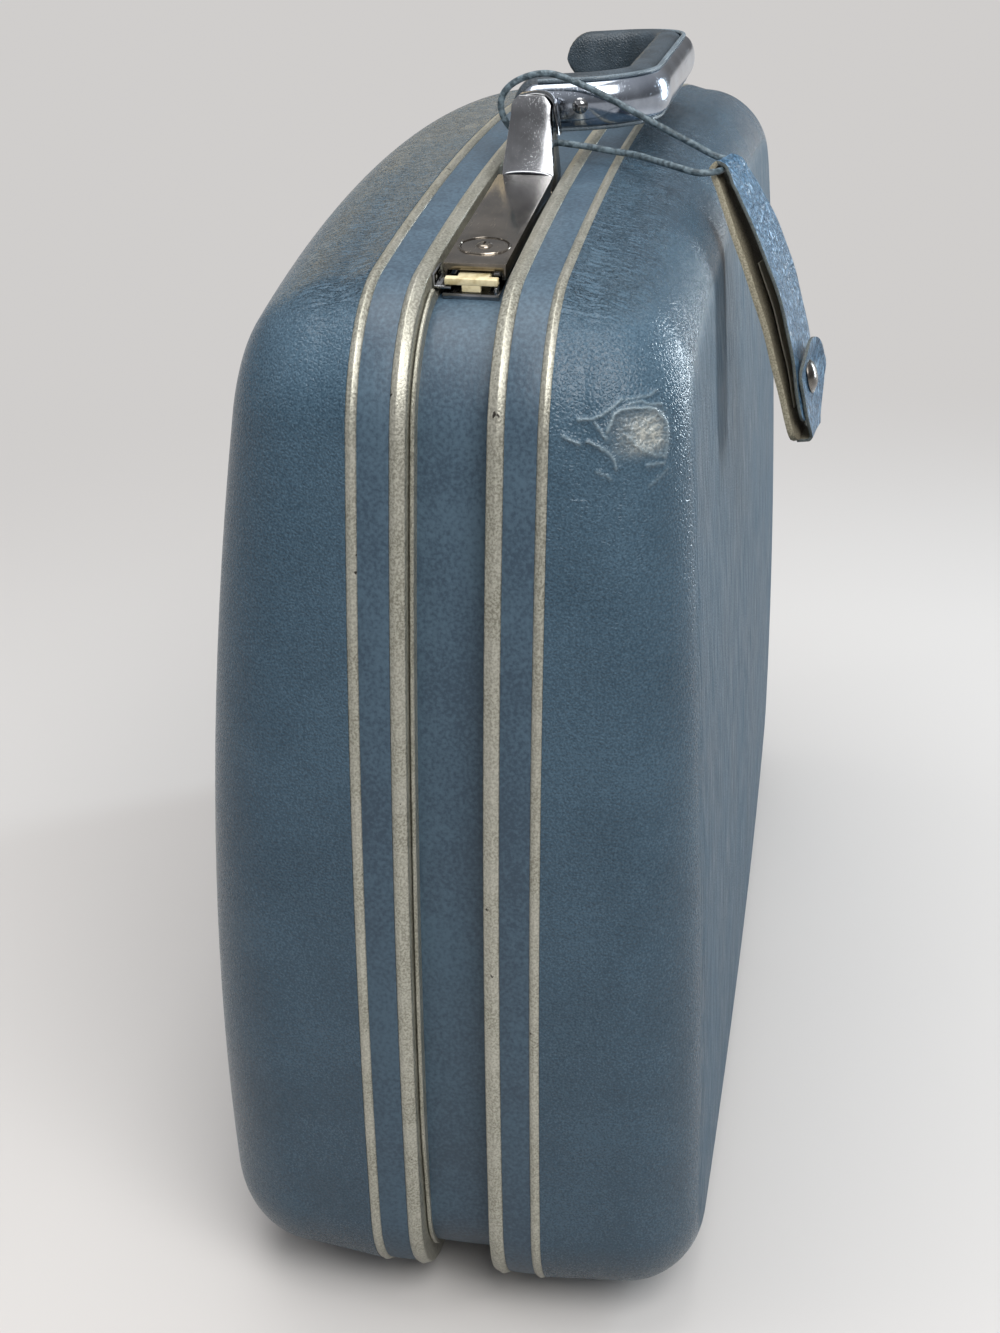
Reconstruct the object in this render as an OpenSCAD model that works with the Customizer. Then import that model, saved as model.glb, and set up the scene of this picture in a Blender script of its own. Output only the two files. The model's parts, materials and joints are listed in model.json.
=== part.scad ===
// Hard-sided suitcase: two tapered shells on metal frames that meet at a recessed channel.
// X runs along the length, Y through the thickness (lid at -Y), Z up from the floor.

/* [Case] */
// Length over the two end trims
case_length = 610; // [570:1:660]
// Height of the trim's crown above the floor
crown_z = 465.6; // [440:0.1:500]
// Rise of the top edge over its length
top_bow = 25.2; // [15:0.1:35]
// Rise of each end over its height
end_bow = 18.9; // [12:0.1:26]
// Height at which the ends are widest
end_mid_z = 227; // [215:1:245]
// Radius of the four outline corners
corner_r = 56; // [50:1:66]
// Height of the underside above the floor
base_z = 4; // [3:0.5:8]

/* [Shells] */
// Depth of the body from the parting plane at mid height
body_depth = 97.5; // [92:0.5:110]
// Depth of the lid from the parting plane at mid height
lid_depth = 112; // [106:0.5:118]
// Change in depth from the underside to the crown
depth_taper = 24.3; // [10:0.1:30]
// Fall of the body's large face towards its upper and lower edges
body_crown = 6; // [2:0.5:9]
// Fall of the lid's large face towards its upper and lower edges
lid_crown = 12; // [6:0.5:14]
// Fall of the body's large face towards its two ends
body_crown_x = 3; // [1:0.5:6]
// Fall of the lid's large face towards its two ends
lid_crown_x = 14; // [6:0.5:16]
// Radius between the walls and the large face
edge_r = 34; // [26:1:40]
// Thickness of a shell wall
shell_t = 3; // [2.4:0.1:3.4]
// Inward lean of the walls, as a slope
wall_draft = 0.083; // [0.04:0.001:0.1]
// Thickness of the lining
lining_t = 1.2; // [0.8:0.1:1.6]

/* [Frames] */
// Half width of the channel between the lips
channel_half = 14.2; // [13:0.1:16]
// Depth of the channel below the trims
channel_depth = 12; // [11:0.1:13]
// Width of a lip's top strip
lip_w = 6.3; // [5:0.1:8]
// Width of the smooth band outside a lip
band_w = 12; // [9:0.1:15]
// Width of the piping beside a shell
piping_w = 3.7; // [3:0.1:5]
// Thickness of the frame metal
frame_t = 2; // [1.6:0.1:2.4]
// Thickness of the vinyl bands
band_t = 0.8; // [0.5:0.1:1]
// Gap at the parting line
parting_gap = 0.5; // [0.4:0.1:0.8]

/* [Hinge] */
// Distance of each hinge from the middle
hinge_x = 150; // [110:1:190]
// Length of one knuckle
knuckle_l = 20; // [14:1:24]
// Outside radius of a knuckle
knuckle_r = 2.9; // [2.7:0.1:3]
// Radius of the hinge pin
hinge_pin_r = 1.25; // [1:0.05:1.5]
// Thickness of a hinge leaf
leaf_t = 1.2; // [1:0.1:1.4]

/* [Latches] */
// Length of a latch cover
latch_l = 123; // [112:1:124]
// Width of a latch cover
latch_w = 23; // [21:0.1:24]
// Height of a latch cover above the channel band
latch_h = 9.7; // [9.5:0.1:10.5]
// Thickness of a latch cover
cover_t = 1.4; // [1:0.1:1.6]
// Radius of a key-lock disc
lock_r = 9; // [7:0.1:9.5]
// Distance of a lock disc from the latch's middle
lock_u = 32.4; // [25:0.1:36]
// Radius of a lever's pivot pin
lever_pin_r = 1.5; // [1.2:0.1:1.8]
// Travel of a latch bolt
bolt_travel = 8; // [6:0.5:10]

/* [Handle] */
// Height of the handle's pivot above the floor
pivot_z = 483.5; // [481:0.1:486]
// Radius of a handle pivot pin
pivot_pin_r = 3; // [2.5:0.1:3.5]
// Outside span of the handle
handle_span = 188; // [176:1:190]
// Reach of the handle from its pivot
handle_reach = 53; // [50:0.5:66]
// Outside corner radius of the handle
handle_corner_r = 36; // [26:1:40]
// Width of the handle's metal band
handle_band_w = 17; // [15:0.5:19]
// Width of the padded grip
grip_w = 24; // [20:0.5:26]
// Depth of the padded grip
grip_d = 15; // [11:0.5:17]
// Angle of the resting handle above level
handle_rest = 4; // [2:0.5:20]
// Height of a post's top above the pivot
post_rise = 7.5; // [7:0.5:11]
// Length of a post at its foot
post_l = 21.3; // [20:0.1:24]
// Width of a post at its foot
post_w = 22; // [20:0.5:24]
// Width of a post at its top
post_top_w = 16.5; // [14:0.5:19]

/* [Tag] */
// Length of the luggage tag
tag_l = 115; // [90:1:125]
// Width of the luggage tag
tag_w = 42; // [36:1:52]
// Thickness of one tag leaf
tag_t = 1.4; // [1:0.1:1.8]
// Space between the tag's leaves
tag_gap = 5.2; // [4.6:0.1:6]

/* [Feet] */
// Distance of each foot from the middle
foot_x = 200; // [150:1:225]
// Distance of each foot from the parting plane
foot_y = 55; // [50:1:60]
// Radius of a foot
foot_r = 10; // [8:0.5:11]

/* [Lining pieces] */
// Distance of each packing strap from the middle
strap_x = 110; // [80:1:160]
// Width of a packing strap
strap_w = 32; // [24:1:40]
// Half width of the lid pocket
pocket_half = 200; // [150:1:215]
// Height of the lid pocket's hem above the floor
pocket_top = 235; // [200:1:250]

/* [Hidden] */
$fn = 48;
vinyl = "#54677d";
vinyl_dark = "#33415a";
champagne = "#b3ada6";
chrome = "#a9a9ab";
nylon = "#d8c47e";
satin = "#c9bfae";
eps = 0.01;
run_gap = 0.05;
clear = 0.3;

// Outline arcs: the insets share their centres, so every ring is parallel to the next.
half_l = case_length / 2;
top_r = (half_l * half_l + top_bow * top_bow) / (2 * top_bow);
half_h = (crown_z - base_z + channel_depth) / 2;
end_r = (half_h * half_h + end_bow * end_bow) / (2 * end_bow);
top_c = [0, crown_z - top_r];
end_c = [half_l - end_r, end_mid_z];
low_z = base_z + corner_r;
low_c = [end_c.x + sqrt(pow(end_r - corner_r, 2) - pow(low_z - end_mid_z, 2)), low_z];
up_c = circle_meet(top_c, top_r - corner_r, end_c, end_r - corner_r);
low_a = heading(low_c - end_c);
up_a = heading(up_c - end_c);
top_a = heading(up_c - top_c);
corner_n = 6;
end_n = 8;
top_n = 10;
low_n = 8;

function heading(v) = atan2(v.y, v.x);
function circle_meet(a, ra, b, rb) =
    let (d = norm(b - a), e = (b - a) / d, x = (d * d + ra * ra - rb * rb) / (2 * d))
    let (h = sqrt(ra * ra - x * x), n = [e.y, -e.x])
    let (p = a + x * e + h * n, q = a + x * e - h * n)
    p.x > q.x ? p : q;
function polar(c, r, a) = c + r * [cos(a), sin(a)];
function arc(c, r, a0, a1, n) = [for (i = [0 : n - 1]) polar(c, r, a0 + (a1 - a0) * i / n)];
function flip(p) = [-p.x, p.y];
function outline(s) = concat(
    arc(low_c, corner_r - s, -90, low_a, corner_n),
    arc(end_c, end_r - s, low_a, up_a, end_n),
    arc(up_c, corner_r - s, up_a, top_a, corner_n),
    arc(top_c, top_r - s, top_a, 180 - top_a, top_n),
    arc(flip(up_c), corner_r - s, 180 - top_a, 180 - up_a, corner_n),
    arc(flip(end_c), end_r - s, 180 - up_a, 180 - low_a, end_n),
    arc(flip(low_c), corner_r - s, 180 - low_a, 270, corner_n),
    [for (i = [0 : low_n - 1]) [low_c.x * (2 * i / low_n - 1), base_z + s]]
);
// Height of the top arc at inset s
function top_z(x, s) = top_c.y + sqrt(pow(top_r - s, 2) - x * x);

// Stations across the thickness
lip_y = channel_half + lip_w;
band_y = lip_y + band_w;
piping_y = band_y + piping_w;
trim_proud = 0.3;
shell_inset = 0.9;
rim_inset = 2.2;
flange_inset = rim_inset + shell_t;
web_inset = channel_depth;
web_edge = -channel_half - parting_gap / 2 + parting_gap;
lid_edge = -channel_half - parting_gap / 2;
upstand_h = 2.5;
post_gap = 6;
latch_gap = 2.2;
upstand_t = 1.6;

// Depth of a half over its large face, from the half's depth and its two falls
body_face = [body_depth, body_crown, body_crown_x];
lid_face = [lid_depth, lid_crown, lid_crown_x];
face_mid_z = (crown_z + base_z) / 2;
face_half_z = (crown_z - base_z) / 2;
function depth(f, x, z) =
    let (w = (z - face_mid_z) / face_half_z, v = x / half_l)
    f[0] - depth_taper * w / 2 - f[1] * w * w - f[2] * v * v;

// Shell surfaces of the half f: g is the distance inside the outer surface
edge_n = 5;
function wall_end_inset(f) = shell_inset + wall_draft * (f[0] - edge_r - piping_y);
function ring_at(s, y) = [for (p = outline(s)) [p.x, y, p.y]];
function ring_depth(f, s, off) = [for (p = outline(s)) [p.x, depth(f, p.x, p.y) - off, p.y]];
function face_point(f, p, k, off) =
    let (x = p.x * k, z = face_mid_z + (p.y - face_mid_z) * k)
    [x, depth(f, x, z) - off, z];
function face_ring(f, s, k, off) = [for (p = outline(s)) face_point(f, p, k, off)];
function edge_rings(f, g) = [
    for (i = [1 : edge_n])
        let (a = 90 * i / edge_n)
        ring_depth(f, wall_end_inset(f) + edge_r - (edge_r - g) * cos(a), edge_r - (edge_r - g) * sin(a))
];
function face_rings(f, g) = [for (k = [0.66, 0.33]) face_ring(f, wall_end_inset(f) + edge_r, k, g)];
function outer_rings(f, y_rim) = concat(
    [ring_at(rim_inset, y_rim), ring_at(rim_inset, piping_y), ring_at(shell_inset, piping_y)],
    [ring_depth(f, wall_end_inset(f), edge_r)], edge_rings(f, 0), face_rings(f, 0)
);
function inner_rings(f, y_rim, g) = concat(
    [ring_at(rim_inset + g, y_rim), ring_at(rim_inset + g, piping_y + g)],
    edge_rings(f, g), face_rings(f, g)
);
function backwards(a) = [for (i = [len(a) - 1 : -1 : 0]) a[i]];

// Closed skin through a chain of rings, from the point a to the point b. Its first rings, back of them,
// run inwards and are split the other way, so that skins inside each other have matching facets.
module loft(rings, a, b, back = 0) {
    n = len(rings[0]);
    m = len(rings);
    points = concat([a], [for (r = rings) each r], [b]);
    last = len(points) - 1;
    start = [for (i = [0 : n - 1]) [0, 1 + i, 1 + (i + 1) % n]];
    sides = [
        for (j = [0 : m - 2], i = [0 : n - 1])
            let (p = 1 + j * n + i, q = 1 + j * n + (i + 1) % n)
            each (j < back - 1 ? [[p, p + n, q + n], [p, q + n, q]] : [[p, p + n, q], [q, p + n, q + n]])
    ];
    end = [for (i = [0 : n - 1]) [last, 1 + (m - 1) * n + (i + 1) % n, 1 + (m - 1) * n + i]];
    polyhedron(points, concat(start, sides, end));
}

module tray(f, outer, inner, g_out, g_in) {
    a = [0, depth(f, 0, face_mid_z) - g_out, face_mid_z];
    b = [0, depth(f, 0, face_mid_z) - g_in, face_mid_z];
    loft(concat(backwards(outer), inner), a, b, len(outer));
}

module on_lid() {
    mirror([0, 1, 0]) children();
}

// Ring along the outline between two stations and two insets
module ring(y0, y1, s_out, s_in) {
    translate([0, y1, 0]) rotate([90, 0, 0]) linear_extrude(y1 - y0) difference() {
        polygon(outline(s_out));
        polygon(outline(s_in));
    }
}

// Solid inside the outline at inset s, for seating pieces on the channel
module outline_core(s) {
    translate([0, lid_depth, 0]) rotate([90, 0, 0]) linear_extrude(2 * lid_depth) polygon(outline(s));
}

module shell(f) {
    color(vinyl) tray(f, outer_rings(f, lip_y), inner_rings(f, lip_y, shell_t), 0, shell_t);
}

module lining(f) {
    lining_out = shell_t + clear;
    lining_in = lining_out + lining_t;
    y_rim = band_y + clear;
    outer = inner_rings(f, y_rim, lining_out);
    inner = inner_rings(f, y_rim, lining_in);
    color(satin) tray(f, outer, inner, lining_out, lining_in);
}

module band() {
    color(vinyl) ring(lip_y, band_y, rim_inset - band_t, rim_inset);
}

module piping() {
    color(champagne) ring(band_y, piping_y, trim_proud, rim_inset);
}

module body_shell() { shell(body_face); }
module lid_shell() { on_lid() shell(lid_face); }
module body_lining() { lining(body_face); }
module lid_lining() { on_lid() lining(lid_face); }
module body_band() { band(); }
module lid_band() { on_lid() band(); }
module body_piping() { piping(); }
module lid_piping() { on_lid() piping(); }

module body_frame() {
    color(champagne) {
        ring(channel_half, lip_y, trim_proud, flange_inset);
        ring(channel_half, channel_half + frame_t, flange_inset - eps, web_inset + frame_t);
        ring(web_edge, channel_half + eps, web_inset, web_inset + frame_t);
        difference() {
            ring(web_edge, web_edge + upstand_t, web_inset - upstand_h, web_inset + eps);
            each_hinge() translate([-hinge_l / 2 - clear, web_edge - 1, 0])
                cube([hinge_l + 2 * clear, upstand_t + 2, base_z + web_inset]);
        }
        ring(channel_half + frame_t - eps, band_y, flange_inset, flange_inset + frame_t);
    }
}

module lid_frame() {
    color(champagne) on_lid() {
        ring(-lid_edge, lip_y, trim_proud, flange_inset);
        ring(-lid_edge, -lid_edge + frame_t, flange_inset - eps, web_inset + frame_t);
        ring(-lid_edge + frame_t - eps, band_y, flange_inset, flange_inset + frame_t);
    }
}

module channel_band() {
    color(vinyl) ring(web_edge + upstand_t, channel_half, web_inset - band_t, web_inset);
}

// Feet: a flat glide with a spigot pressed into the shell
spigot_r = 4;
foot_chamfer = 1.5;
function wall_slope(f) =
    (wall_end_inset(f) - shell_inset) / (depth(f, foot_x, base_z) - edge_r - piping_y);
function wall_z(f, y) = base_z + shell_inset + wall_slope(f) * (y - piping_y);
module foot(pad_h, spigot_z) {
    rotate_extrude() polygon([
        [0, 0], [foot_r - foot_chamfer, 0], [foot_r, foot_chamfer], [foot_r, pad_h],
        [spigot_r, pad_h], [spigot_r, spigot_z], [0, spigot_z]
    ]);
}
module feet(f) {
    color(vinyl_dark) for (x = [-foot_x, foot_x]) translate([x, foot_y, 0])
        foot(wall_z(f, foot_y - foot_r) - eps, wall_z(f, foot_y) + shell_t / 2);
}
module body_feet() { feet(body_face); }
module lid_feet() { on_lid() feet(lid_face); }

// Hinge: its axis lies in the channel under the band, close to the lid's frame
channel_z = base_z + web_inset - band_t;
knuckle_side = 0.95;
knuckle_drop = 0.6;
hinge_y = lid_edge + knuckle_r + knuckle_side;
hinge_z = channel_z - knuckle_r - knuckle_drop;
hinge_l = 3 * knuckle_l;
leaf_y = 10;
leaf_low = base_z + 1;
knuckle_gap = 0.3;
rivet_r = 2;
rivet_h = 0.9;

module along_x(x0, x1, r) {
    translate([x0, 0, 0]) rotate([0, 90, 0]) cylinder(h = x1 - x0, r = r);
}
module knuckle(i) {
    x0 = -hinge_l / 2 + i * knuckle_l + knuckle_gap / 2;
    translate([0, hinge_y, hinge_z]) along_x(x0, x0 + knuckle_l - knuckle_gap, knuckle_r);
}
module hinge_bore() {
    translate([0, hinge_y, hinge_z]) along_x(-hinge_l / 2 - 1, hinge_l / 2 + 1, hinge_pin_r + run_gap);
}
module each_hinge() {
    for (x = [-hinge_x, hinge_x]) translate([x, 0, 0]) children();
}
module hinge_leaf_body() {
    y_free = hinge_y + knuckle_r + clear;
    color(chrome) each_hinge() difference() {
        union() {
            translate([-hinge_l / 2, y_free, channel_z - leaf_t]) cube([hinge_l, leaf_y - y_free, leaf_t]);
            for (i = [0, 2]) {
                knuckle(i);
                translate([-hinge_l / 2 + i * knuckle_l + knuckle_gap / 2, hinge_y, channel_z - leaf_t])
                    cube([knuckle_l - knuckle_gap, leaf_y - hinge_y, leaf_t]);
            }
        }
        hinge_bore();
    }
}
module hinge_leaf_lid() {
    z_free = hinge_z - knuckle_r - clear;
    color(chrome) each_hinge() difference() {
        union() {
            translate([-hinge_l / 2, lid_edge, leaf_low]) cube([hinge_l, leaf_t, z_free - leaf_low]);
            knuckle(1);
            translate([-knuckle_l / 2 + knuckle_gap / 2, lid_edge, leaf_low])
                cube([knuckle_l - knuckle_gap, leaf_t, hinge_z - leaf_low]);
            translate([-knuckle_l / 2 + knuckle_gap / 2, lid_edge, hinge_z - knuckle_r])
                cube([knuckle_l - knuckle_gap, hinge_y - lid_edge, knuckle_r]);
        }
        hinge_bore();
    }
}
module hinge_pins() {
    color(chrome) each_hinge() translate([0, hinge_y, hinge_z])
        along_x(-hinge_l / 2, hinge_l / 2, hinge_pin_r);
}
module dome_rivet(r, h) {
    intersection() {
        translate([0, 0, h - (r * r + h * h) / (2 * h)]) sphere(r = (r * r + h * h) / (2 * h));
        cylinder(h = h + 1, r = r + 1);
    }
}
module hinge_rivets_body() {
    color(chrome) each_hinge() for (x = [-knuckle_l, 0, knuckle_l])
        translate([x, leaf_y - 3 * rivet_r, channel_z - leaf_t]) mirror([0, 0, 1])
            dome_rivet(rivet_r, rivet_h);
}
module hinge_rivets_lid() {
    color(chrome) each_hinge() for (x = [-knuckle_l, knuckle_l])
        translate([x, lid_edge + leaf_t, (leaf_low + hinge_z - knuckle_r) / 2]) rotate([-90, 0, 0])
            dome_rivet(rivet_r / 2, rivet_h / 2);
}

// Places along the top: handle, post, then latch
handle_half = handle_span / 2;
post_back = handle_half + post_gap;
post_front = post_back + post_l;
latch_end = latch_l / 2;
latch_x = post_front + latch_gap + latch_end;

// Latch frame: u along the channel, v across it, w up from the channel band
latch_tilt = asin(latch_x / (top_r - web_inset + band_t));
latch_z = top_z(latch_x, web_inset - band_t);
module at_latch(side) {
    mirror([side < 0 ? 1 : 0, 0, 0]) translate([latch_x, 0, latch_z]) rotate([0, latch_tilt, 0]) children();
}
base_t = 1.2;
base_drop = 3;
lever_u = -latch_end + 5.5;
lever_w = 5;
ear_t = 1.6;
ear_v = latch_w / 2 - cover_t - clear - ear_t;
ear_r = 3;
keeper_l = 14;
keeper_t = 1.1;
keeper_w0 = 2.3;
keeper_reach = 7;
keeper_gap = 0.5;
keeper_u = latch_end - keeper_l - 1;
bolt_w = 12;
bolt_low = keeper_w0 + keeper_t + keeper_gap;
bolt_h = 2.6;
bolt_back = 30;
guide_t = 1.2;
nose_out = 8.4;
cover_end = latch_end - nose_out;
module block(u0, u1, v0, v1, w0, w1) {
    translate([u0, v0, w0]) cube([u1 - u0, v1 - v0, w1 - w0]);
}
module along_v(v0, v1, r) {
    translate([0, v1, 0]) rotate([90, 0, 0]) cylinder(h = v1 - v0, r = r);
}
module latch_base(side) {
    guide_v = bolt_w / 2 + clear;
    guide_u = latch_end - bolt_back;
    guide_l = bolt_travel + 2;
    guide_top = bolt_low + bolt_h / 2;
    color(chrome) difference() {
        at_latch(side) difference() {
            union() {
                block(-latch_end + 1, latch_end, -latch_w / 2 + 1, latch_w / 2 - 1, -base_drop, base_t);
                for (v = [-ear_v - ear_t, ear_v]) {
                    block(lever_u - ear_r, lever_u + ear_r, v, v + ear_t, base_t - eps, lever_w);
                    translate([lever_u, 0, lever_w]) along_v(v, v + ear_t, ear_r);
                }
                for (m = [0, 1]) mirror([0, m, 0])
                    block(guide_u, guide_u + guide_l, guide_v, guide_v + guide_t, base_t - eps, guide_top);
                block(guide_u, guide_u + guide_l, -guide_v, guide_v, base_t - eps, bolt_low - clear);
            }
            translate([lever_u, 0, lever_w]) along_v(-latch_w, latch_w, lever_pin_r + run_gap);
        }
        outline_core(web_inset - band_t);
    }
}
module latch_pin(side) {
    color(chrome) at_latch(side) translate([lever_u, 0, lever_w])
        along_v(-latch_w / 2 + cover_t / 2, latch_w / 2 - cover_t / 2, lever_pin_r);
}
module latch_lever(side) {
    skirt_low = keeper_w0 + keeper_t + keeper_gap;
    r = ear_r + 0.2;
    inner_v = latch_w / 2 - cover_t;
    front_low = bolt_low + bolt_h + 2 * clear;
    color(chrome) at_latch(side) difference() {
        union() {
            block(-latch_end, cover_end, -latch_w / 2, latch_w / 2, latch_h - cover_t, latch_h);
            block(cover_end - cover_t, cover_end, -latch_w / 2, latch_w / 2, front_low, latch_h);
            for (v = [-latch_w / 2, inner_v]) {
                block(-latch_end + r, cover_end, v, v + cover_t, skirt_low, latch_h - cover_t + eps);
                translate([lever_u, 0, lever_w]) along_v(v, v + cover_t, r);
            }
        }
        translate([lock_u, 0, 0]) cylinder(h = latch_h + 1, r = lock_r + run_gap);
        translate([lever_u, 0, lever_w]) along_v(-latch_w, latch_w, lever_pin_r + run_gap);
    }
}
module lock_disc(side) {
    proud = 0.4;
    cam_r = 6.5;
    cam_t = 0.7;
    slot_l = 7;
    slot_w = 1.4;
    slot_d = 1.4;
    under = latch_h - cover_t;
    top = latch_h + proud;
    color(chrome) at_latch(side) translate([lock_u, 0, 0]) difference() {
        union() {
            translate([0, 0, under]) cylinder(h = top - under, r = lock_r);
            translate([0, 0, under - cam_t]) cylinder(h = cam_t + eps, r = cam_r);
        }
        block(-slot_l / 2, slot_l / 2, -slot_w / 2, slot_w / 2, top - slot_d, top + 1);
    }
}
module latch_bolt(side) {
    nose_l = 3.4;
    nose_step = 0.6;
    nose_v = latch_w / 2 - cover_t - clear;
    nose_u = latch_end - nose_step;
    tail = latch_end - bolt_back - 4;
    stem_top = bolt_low + bolt_h - nose_step;
    color(nylon) at_latch(side) {
        block(tail, nose_u - nose_l, -bolt_w / 2, bolt_w / 2, bolt_low, stem_top);
        block(nose_u - nose_l - eps, nose_u, -nose_v, nose_v, bolt_low, bolt_low + bolt_h);
    }
}
module latch_spring(side) {
    l = 34;
    w = 6;
    u = -22;
    rise = 1.6;
    t = 0.6;
    color(chrome) at_latch(side) translate([u, w / 2, base_t]) rotate([90, 0, 0]) linear_extrude(w)
        polygon([[0, 0], [l / 3, 0], [l, rise], [l, rise + t], [l / 3, t], [0, t]]);
}
module right_latch_base() { latch_base(1); }
module left_latch_base() { latch_base(-1); }
module right_latch_pin() { latch_pin(1); }
module left_latch_pin() { latch_pin(-1); }
module right_latch_lever() { latch_lever(1); }
module left_latch_lever() { latch_lever(-1); }
module right_lock_disc() { lock_disc(1); }
module left_lock_disc() { lock_disc(-1); }
module right_latch_bolt() { latch_bolt(1); }
module left_latch_bolt() { latch_bolt(-1); }
module right_latch_spring() { latch_spring(1); }
module left_latch_spring() { latch_spring(-1); }
module latch_rivets() {
    v = -5.5;
    color(chrome) for (side = [-1, 1]) at_latch(side) for (u = [-40, 20])
        translate([u, v, base_t]) dome_rivet(rivet_r, rivet_h);
}

// Keeper: a tongue on the lid's frame that reaches under the bolt
module keeper(side) {
    v0 = lid_edge;
    u1 = keeper_u + keeper_l;
    color(chrome) at_latch(side) {
        block(keeper_u, u1, v0, v0 + keeper_reach, keeper_w0, keeper_w0 + keeper_t);
        block(keeper_u, u1, v0, v0 + keeper_t, keeper_w0, latch_h - 2);
    }
}
module right_keeper() { keeper(1); }
module left_keeper() { keeper(-1); }
module keeper_rivets() {
    w = keeper_w0 + keeper_t + rivet_r;
    color(chrome) for (side = [-1, 1]) at_latch(side) for (k = [1, 3])
        translate([keeper_u + k * keeper_l / 4, lid_edge + keeper_t, w]) rotate([-90, 0, 0])
            dome_rivet(rivet_r / 2, rivet_h / 2);
}

// Posts: an upright with a sloping front, seated on the channel band
post_top = pivot_z + post_rise;
post_foot_z = top_z(post_front, web_inset - band_t) - base_drop;
post_lean = 10;
post_step_h = 9;
post_step_z = post_foot_z + base_drop + post_step_h;
post_step = 1.2;
pin_end = post_front - post_lean - 4;
module post_side() {
    translate([0, post_w, 0]) rotate([90, 0, 0]) linear_extrude(2 * post_w) polygon([
        [post_back, post_foot_z], [post_front, post_foot_z], [post_front, post_step_z],
        [post_front - post_step, post_step_z], [post_front - post_lean, post_top], [post_back, post_top]
    ]);
}
module post_face() {
    top_round = norm([post_top_w / 2, post_rise / 2]);
    rotate([90, 0, 90]) linear_extrude(2 * post_front) {
        polygon([
            [-post_w / 2, post_foot_z], [post_w / 2, post_foot_z], [post_w / 2, post_step_z],
            [post_top_w / 2, pivot_z], [-post_top_w / 2, pivot_z], [-post_w / 2, post_step_z]
        ]);
        intersection() {
            translate([0, pivot_z]) circle(r = top_round);
            translate([-post_top_w / 2, pivot_z - eps]) square([post_top_w, post_rise]);
        }
    }
}
module post(side) {
    color(chrome) mirror([side < 0 ? 1 : 0, 0, 0]) difference() {
        intersection() {
            post_side();
            post_face();
        }
        translate([0, 0, pivot_z]) along_x(0, pin_end, pivot_pin_r);
        outline_core(web_inset - band_t);
    }
}
module right_handle_post() { post(1); }
module left_handle_post() { post(-1); }

// Handle, drawn upright about its pivot and laid over to its rest
core_t = 3;
metal_t = 2;
grip_out = metal_t + core_t;
pin_head_r = pivot_pin_r + 1.6;
pin_head_t = 2;
module at_handle() {
    translate([0, 0, pivot_z]) rotate([handle_rest - 90, 0, 0]) children();
}
bail_n = 8;
function round_top(half, h, r) = concat(
    [[half, 0]],
    arc([half - r, h - r], r, 0, 90, bail_n),
    arc([r - half, h - r], r, 90, 180, bail_n),
    [[-half, h - r], [-half, 0]]
);
// Bail between two depths from the handle's outer line
module bail(d0, d1, w) {
    translate([0, w / 2, 0]) rotate([90, 0, 0]) linear_extrude(w) difference() {
        polygon(round_top(handle_half - d0, handle_reach - d0, handle_corner_r - d0));
        polygon(round_top(handle_half - d1, handle_reach - d1, handle_corner_r - d1));
    }
}
module ear(x0, x1, r) {
    for (m = [0, 1]) mirror([m, 0, 0]) along_x(x0, x1, r);
}
module pivot_bore() {
    along_x(-handle_half - 1, handle_half + 1, pivot_pin_r + run_gap);
}
module handle_band() {
    color(chrome) at_handle() difference() {
        union() {
            bail(0, metal_t, handle_band_w);
            ear(handle_half - metal_t, handle_half, handle_band_w / 2);
        }
        pivot_bore();
    }
}
module handle_core() {
    color(chrome) at_handle() difference() {
        union() {
            bail(metal_t, grip_out, handle_band_w - 2);
            ear(handle_half - grip_out, handle_half - metal_t, handle_band_w / 2 - 1);
        }
        pivot_bore();
    }
}
module handle_grip() {
    head_pocket = pin_head_t + 3 * clear;
    color(vinyl_dark) at_handle() difference() {
        union() {
            bail(grip_out, grip_out + grip_d, grip_w);
            ear(handle_half - grip_out - grip_d, handle_half - grip_out, grip_w / 2);
        }
        ear(handle_half - grip_out - head_pocket, handle_half, pin_head_r + clear);
    }
}
rivet_out = 18;
grip_rivet_r = 3.4;
grip_rivet_h = 1.8;
module handle_rivets() {
    color(chrome) at_handle() for (m = [0, 1]) mirror([m, 0, 0])
        translate([handle_half, 0, rivet_out]) rotate([0, 90, 0]) dome_rivet(grip_rivet_r, grip_rivet_h);
}
module handle_pins() {
    head_x = handle_half - grip_out - clear;
    color(chrome) translate([0, 0, pivot_z]) for (m = [0, 1]) mirror([m, 0, 0]) {
        along_x(head_x - eps, pin_end, pivot_pin_r);
        along_x(head_x - pin_head_t, head_x, pin_head_r);
    }
}

// Lining pieces follow the large face of the lining
strap_t = 1.6;
lining_face = shell_t + 2 * clear + lining_t;
strap_seat = lining_face + clear;
pocket_seat = lining_face + 4 * clear;
function face_run(f, x, z0, z1, n, off) =
    [for (i = [0 : n]) let (z = z0 + (z1 - z0) * i / n) [depth(f, x, z) - off, z]];
module face_strip(f, x0, x1, z0, z1, off, t) {
    x_far = max(abs(x0), abs(x1));
    n = 10;
    translate([x0, 0, 0]) rotate([90, 0, 90]) linear_extrude(x1 - x0) polygon(concat(
        face_run(f, x_far, z0, z1, n, off), backwards(face_run(f, x_far, z0, z1, n, off + t))
    ));
}
strap_z0 = base_z + 60;
strap_z1 = crown_z - 70;
buckle_z = 250;
buckle_l = 34;
module packing_straps() {
    color(vinyl_dark) for (x = [-strap_x, strap_x])
        face_strip(body_face, x - strap_w / 2, x + strap_w / 2, strap_z0, strap_z1, strap_seat, strap_t);
}
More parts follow.
